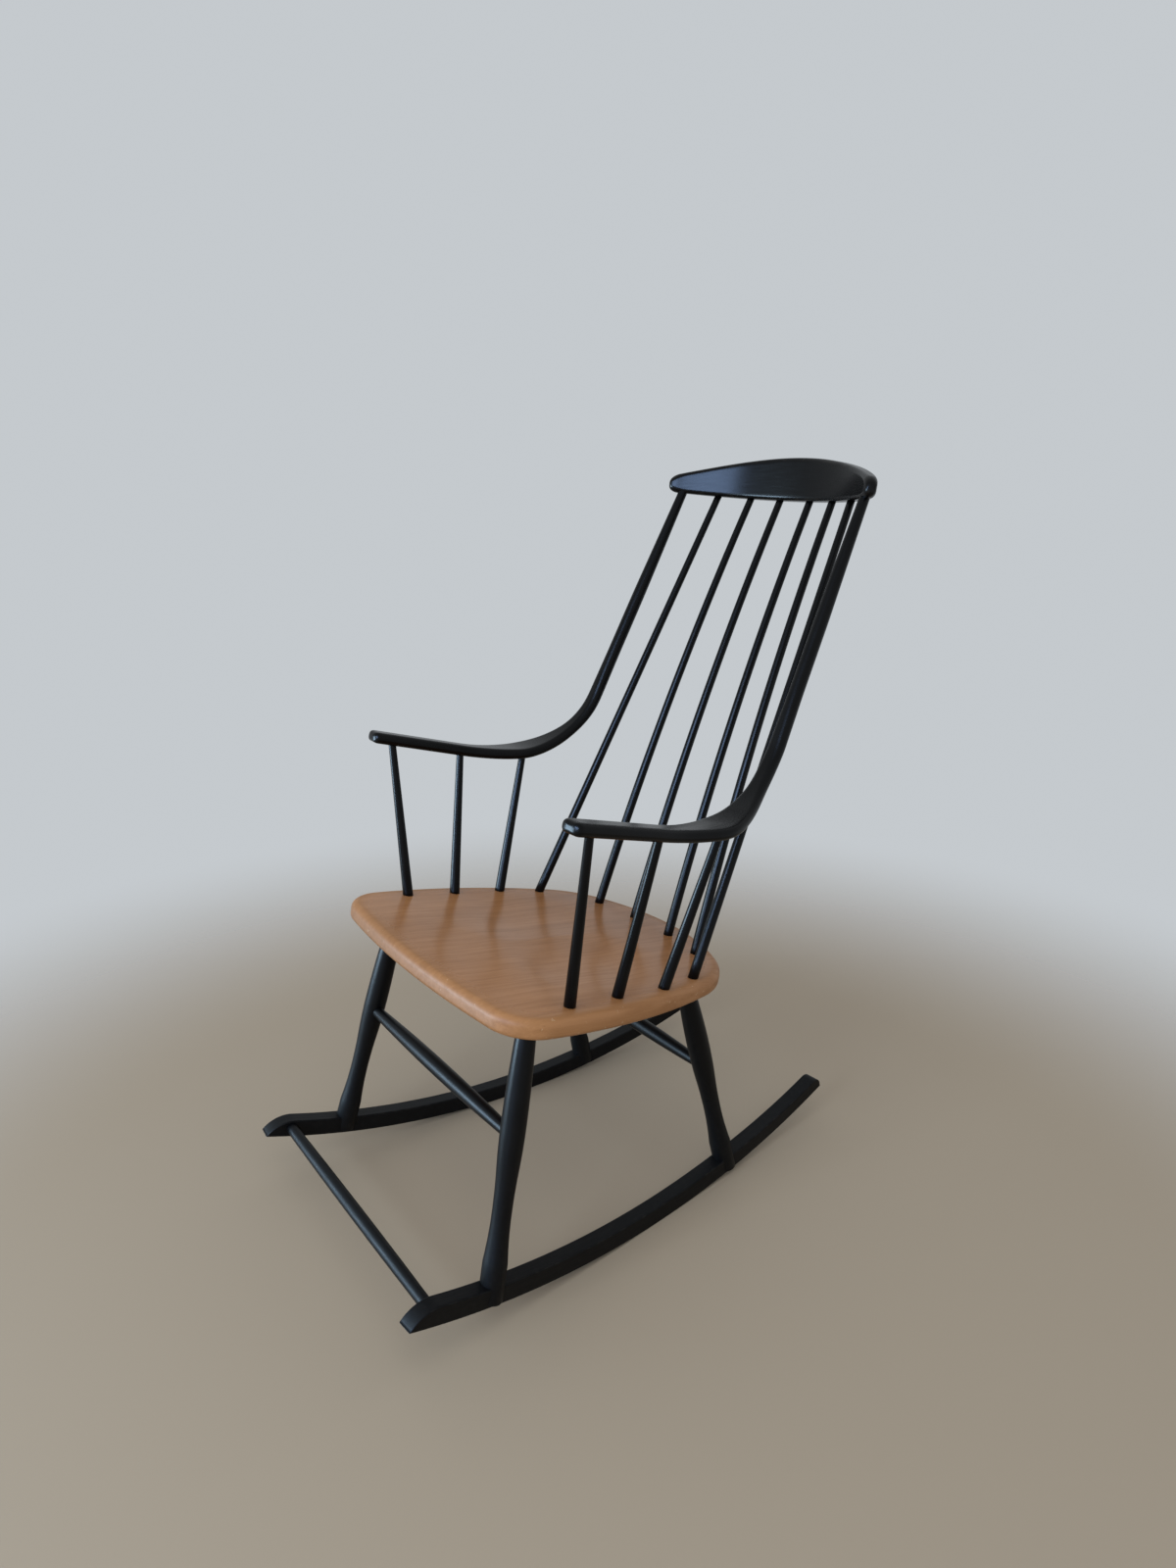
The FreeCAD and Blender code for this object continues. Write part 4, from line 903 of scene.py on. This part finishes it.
def black_lacquer():
    """Black lacquer brushed along each stick: cloudy depth, long faint streaks, glossier higher up
    where hands reach, rubbed along the edges and lightly dusted low down.
    """
    finish = Finish("black_lacquer_finish")
    section = finish.node("ShaderNodeAttribute", attribute_name="section").outputs["Vector"]
    streak_inputs = {"Vector": section, "W": finish.mark("along"), "Scale": 420.0, "Detail": 1.0}
    streak = finish.node("ShaderNodeTexNoise", streak_inputs, noise_dimensions="4D").outputs["Fac"]
    height = finish.node("ShaderNodeSeparateXYZ", {"Vector": finish.place}).outputs["Z"]
    cloud = finish.noise(finish.place, scale=22.0, detail=3.0)
    colour = finish.ramp(cloud, [(0.3, LACQUER_DEEP), (0.7, LACQUER_PALE)])
    low = finish.spread(height, (0.05, 0.4), (0.3, 0.0))
    specks = finish.noise(finish.place, scale=130.0, detail=6.0, roughness=0.65)
    specks = finish.spread(specks, (0.5, 0.72), (0.0, 1.0))
    colour = finish.blend(finish.times(specks, low), colour, DUST)
    patches = finish.noise(finish.place, scale=75.0, detail=5.0)
    patches = finish.spread(patches, (0.5, 0.66), (0.0, 0.8))
    colour = finish.blend(finish.times(patches, finish.mark("edge")), colour, LACQUER_RUBBED)
    dull = finish.spread(height, (0.1, 0.5), (0.5, 0.25))
    uneven = finish.spread(streak, (0.3, 0.7), (0.92, 1.1))
    finish.use({
        "Base Color": colour,
        "Roughness": finish.times(dull, uneven),
        "Specular IOR Level": LACQUER_SHINE,
        "Normal": finish.bump(streak, strength=0.03, distance=0.0002),
    })
    return {"material": finish.material, "slot": "black_lacquer"}


def seat_wood():
    """Satin-lacquered warm brown wood: broad clouds, grain and fibres that run from the front to the
    back of the seat, a few dark dashes, painted light that makes the front paler and painted shade
    that darkens the back, and an edge worn paler and duller, with a few chips.
    """
    finish = Finish("seat_wood_finish")
    level = (math.radians(SEAT_TILT), 0.0, 0.0)
    broad = finish.noise(finish.stretched(CLOUD_COUNTS, level), detail=3.0, distortion=0.4)
    grain = finish.noise(finish.stretched(GRAIN_COUNTS, level), detail=7.0, roughness=0.62, distortion=0.5)
    fibre = finish.noise(finish.stretched(FIBRE_COUNTS, level), roughness=0.6)
    dash = finish.noise(finish.stretched(DASH_COUNTS, level), detail=2.0)
    colour = finish.ramp(grain, [(0.36, WOOD_DARK), (0.5, WOOD_MIDDLE), (0.64, WOOD_PALE)])
    shade = finish.ramp(broad, [(0.34, CLOUD_DARK), (0.64, CLOUD_PALE)])
    colour = finish.blend(1.0, colour, shade, "MULTIPLY")
    # Painted light and painted shade: the wood is lighter towards the front of the seat and darker towards
    # its back.
    backward = finish.node("ShaderNodeSeparateXYZ", {"Vector": finish.place}).outputs["Y"]
    to_back = finish.spread(backward, (-0.24, 0.18), (0.0, 1.0))
    painted_light_and_shade = finish.ramp(to_back, [(0.0, FRONT_PAINTED_LIGHT), (1.0, BACK_PAINTED_SHADE)])
    colour = finish.blend(1.0, colour, painted_light_and_shade, "MULTIPLY")
    fibre_shade = finish.ramp(fibre, [(0.32, FIBRE_DARK), (0.6, FIBRE_PALE)])
    colour = finish.blend(0.7, colour, fibre_shade, "MULTIPLY")
    dashes = finish.spread(dash, (0.62, 0.74), (0.0, 0.35))
    colour = finish.blend(dashes, colour, WOOD_DASH)
    rim = finish.mark("rim")
    colour = finish.blend(finish.spread(rim, (0.0, 1.0), (0.0, 0.2)), colour, WOOD_RIM)
    chips = finish.noise(finish.place, scale=170.0, detail=3.0)
    chips = finish.spread(chips, (0.69, 0.73), (0.0, 0.5))
    colour = finish.blend(finish.times(chips, rim), colour, WOOD_CHIP)
    dull = finish.spread(grain, (0.3, 0.7), (0.26, 0.21))
    rubbed = finish.spread(rim, (0.0, 1.0), (1.0, 2.2))
    finish.use({
        "Base Color": colour,
        "Roughness": finish.times(dull, rubbed),
        "Specular IOR Level": WOOD_SHINE,
        "Normal": finish.bump(fibre, strength=0.06, distance=0.0003),
    })
    return {"material": finish.material, "slot": "seat_wood"}


# The chair

lacquer = black_lacquer()
wood = seat_wood()

rings, marks = seat_rings()
add_piece("seat", rings, wood, marks)
rail = crest_rings()
add_piece("crest_rail", rail, lacquer, corner_marks(rail))
for side_name, side in SIDES.items():
    add_piece(f"{side_name}_arm_post", arm_post_rings(side), lacquer)
    runner = rocker_rings(side)
    add_piece(f"{side_name}_rocker", runner, lacquer, corner_marks(runner))
    for row in LEG_FEET:
        add_piece(f"{side_name}_{row}_leg", leg_rings(row, side), lacquer)
        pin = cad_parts[f"{side_name}_{row}_rocker_pin"]
        pin.data.materials.clear()
        pin.data.materials.append(lacquer["material"])
    for row, (inset, backward, distance) in ARM_SPINDLES.items():
        foot = seat_point(side * (SEAT_HALF_WIDTH - inset), backward)
        top = arm_line(distance)[0] * np.array([side, 1.0, 1.0])
        stick = tapered_spindle(foot, top, ARM_SPINDLE_RADII, INTO_ARM)
        add_piece(f"{side_name}_{row}_arm_spindle", stick, lacquer)
    for row, (foot_across, backward, top_across) in BACK_SPINDLES.items():
        foot = seat_point(side * foot_across, backward)
        top = crest_foot(side * top_across)
        bow = BACK_SPINDLE_BOWS[row]
        if bow:
            stick = bowed_spindle(foot, top, bow, BACK_SPINDLE_RADII)
        else:
            stick = tapered_spindle(foot, top, BACK_SPINDLE_RADII, INTO_CREST)
        add_piece(f"{side_name}_{row}_back_spindle", stick, lacquer)

for row, height in STRETCHER_HEIGHTS.items():
    foot, top = leg_ends(row, 1)
    joint = foot + (top - foot) * ((height - foot[2]) / (top[2] - foot[2]))
    bar = swelling_bar(joint, LEG_SWELL_RADIUS - STRETCHER_TENON, STRETCHER_TENON,
                       STRETCHER_END_RADIUS, STRETCHER_SWELL_RADIUS)
    add_piece(f"{row}_stretcher", bar, lacquer)
bar = swelling_bar(rocker_middle(1, -FOOT_BAR_REACH), ROCKER_THICKNESS / 2 - FOOT_BAR_TENON, FOOT_BAR_TENON,
                   FOOT_BAR_END_RADIUS, FOOT_BAR_SWELL_RADIUS)
add_piece("foot_bar", bar, lacquer)


# Floor, light and camera

# Middle, reach of the fading and radii of the disc in metres
FLOOR_MIDDLE = (0.2, -0.15, 0.0)
FLOOR_FADE = (0.85, 1.9)
FLOOR_RADII = (0.05, 6.0)
FLOOR_RINGS = 24
FLOOR_STEPS = 64
FLOOR_COLOUR = (0.36, 0.305, 0.238, 1.0)
WALL_COLOUR = (0.557, 0.588, 0.615, 1.0)
ROOM_LIGHT_COLOUR = (0.96, 0.98, 1.0, 1.0)
ROOM_LIGHT_STRENGTH = 0.65

# Place and way in metres, roll in degrees, lens and sensor in millimetres
CAMERA_PLACE = (1.15338, -0.85494, 1.0850)
CAMERA_WAY = (-0.76207, 0.57343, -0.30071)
CAMERA_ROLL = -0.15
CAMERA_LENS = 23.29
CAMERA_SENSOR = 36.0


def pale_floor():
    """Plain pale floor that fades out far from the chair: a disc of rings that grow evenly."""
    radius = np.linspace(*FLOOR_RADII, FLOOR_RINGS)
    angle = np.linspace(0.0, 2 * math.pi, FLOOR_STEPS, endpoint=False)
    x = radius[:, None] * np.cos(angle)
    y = radius[:, None] * np.sin(angle)
    rings = np.stack([x, y, np.zeros_like(x)], axis=-1)
    station, step = np.meshgrid(np.arange(FLOOR_RINGS - 1), np.arange(FLOOR_STEPS), indexing="ij")
    here = station * FLOOR_STEPS + step
    beside = station * FLOOR_STEPS + (step + 1) % FLOOR_STEPS
    quads = np.stack([here, here + FLOOR_STEPS, beside + FLOOR_STEPS, beside], axis=-1).reshape(-1, 4)
    mesh = bpy.data.meshes.new("pale_floor")
    mesh.from_pydata(rings.reshape(-1, 3).tolist(), [], quads.tolist() + [list(range(FLOOR_STEPS))])
    floor = bpy.data.objects.new("pale_floor", mesh)
    bpy.context.scene.collection.objects.link(floor)
    finish = Finish("pale_floor_finish")
    finish.use({"Base Color": FLOOR_COLOUR, "Roughness": 0.7, "Specular IOR Level": 0.2})
    ends = {0: finish.place, 1: FLOOR_MIDDLE}
    far = finish.node("ShaderNodeVectorMath", ends, operation="DISTANCE").outputs["Value"]
    reach = {"Value": far, "From Min": FLOOR_FADE[0], "From Max": FLOOR_FADE[1]}
    fade = finish.node("ShaderNodeMapRange", reach, interpolation_type="SMOOTHSTEP").outputs["Result"]
    clear = finish.node("ShaderNodeBsdfTransparent").outputs["BSDF"]
    surfaces = {0: fade, 1: finish.shader.outputs["BSDF"], 2: clear}
    mixed = finish.node("ShaderNodeMixShader", surfaces).outputs["Shader"]
    finish.tree.links.new(mixed, finish.tree.nodes["Material Output"].inputs["Surface"])
    mesh.materials.append(finish.material)


def pale_room():
    """World: soft light from all round, and a plain pale wall colour where it is seen or mirrored."""
    world = bpy.data.worlds.new("pale_room")
    bpy.context.scene.world = world
    world.use_nodes = True
    tree = world.node_tree
    light = tree.nodes["Background"]
    light.inputs["Color"].default_value = ROOM_LIGHT_COLOUR
    light.inputs["Strength"].default_value = ROOM_LIGHT_STRENGTH
    wall = tree.nodes.new("ShaderNodeBackground")
    wall.inputs["Color"].default_value = WALL_COLOUR
    wall.inputs["Strength"].default_value = 1.0
    path = tree.nodes.new("ShaderNodeLightPath")
    seen = path.outputs["Is Camera Ray"]
    for name in ("Is Glossy Ray", "Is Transmission Ray"):
        either = tree.nodes.new("ShaderNodeMath")
        either.operation = "MAXIMUM"
        tree.links.new(seen, either.inputs[0])
        tree.links.new(path.outputs[name], either.inputs[1])
        seen = either.outputs["Value"]
    mixed = tree.nodes.new("ShaderNodeMixShader")
    tree.links.new(seen, mixed.inputs[0])
    tree.links.new(light.outputs["Background"], mixed.inputs[1])
    tree.links.new(wall.outputs["Background"], mixed.inputs[2])
    tree.links.new(mixed.outputs["Shader"], tree.nodes["World Output"].inputs["Surface"])


def soft_lamp(name, place, aim, size, watts, colour, spread=True, mirrored=True):
    """Soft lamp at a place, facing a point, for spread light, for highlights or for both."""
    lamp = bpy.data.lights.new(name, "AREA")
    lamp.shape = "RECTANGLE"
    lamp.size, lamp.size_y = size
    lamp.energy = watts
    lamp.color = colour
    holder = bpy.data.objects.new(name, lamp)
    holder.location = place
    way = Vector(aim) - Vector(place)
    holder.rotation_euler = way.to_track_quat("-Z", "Y").to_euler()
    holder.visible_camera = False
    holder.visible_diffuse = spread
    holder.visible_glossy = mirrored
    bpy.context.scene.collection.objects.link(holder)


def photo_camera():
    """Camera at the photograph's place: its axes are the picture's right, up and backward directions,
    the level pair of them turned by the roll.
    """
    lens = bpy.data.cameras.new("photo_camera")
    lens.sensor_fit = "AUTO"
    lens.sensor_width = CAMERA_SENSOR
    lens.lens = CAMERA_LENS
    lens.clip_start = 0.02
    lens.clip_end = 60.0
    holder = bpy.data.objects.new("photo_camera", lens)
    forward = unit(np.array(CAMERA_WAY))
    level = unit(np.cross(forward, [0.0, 0.0, 1.0]))
    upright = np.cross(level, forward)
    roll = math.radians(CAMERA_ROLL)
    right = level * math.cos(roll) + upright * math.sin(roll)
    up = np.cross(right, forward)
    matrix = np.eye(4)
    matrix[:3, :3] = np.stack([right, up, -forward], axis=1)
    matrix[:3, 3] = CAMERA_PLACE
    holder.matrix_world = Matrix(matrix.tolist())
    bpy.context.scene.collection.objects.link(holder)
    bpy.context.scene.camera = holder


pale_floor()
pale_room()
soft_lamp("window_light", place=(0.55, -3.1, 1.75), aim=(0.0, 0.0, 0.7), size=(1.6, 1.3),
          watts=52.0, colour=(0.8, 0.92, 1.0), mirrored=False)
soft_lamp("room_fill", place=(1.4, -1.4, 2.9), aim=(0.0, 0.0, 0.5), size=(2.6, 2.6),
          watts=20.0, colour=(1.0, 0.94, 0.86), mirrored=False)
# Highlights only. The window's panel stands in front of its lamp, which would otherwise hide it.
soft_lamp("window_glint", place=(0.65, -2.75, 1.75), aim=(0.0, 0.0, 1.1), size=(2.0, 1.1),
          watts=152.0, colour=(0.40, 0.60, 1.0), spread=False)
soft_lamp("low_glint", place=(-1.4, -2.5, 0.62), aim=(0.0, 0.0, 0.6), size=(1.5, 1.1),
          watts=150.0, colour=(0.55, 0.78, 1.0), spread=False)
photo_camera()
bpy.context.scene.view_settings.view_transform = "Standard"
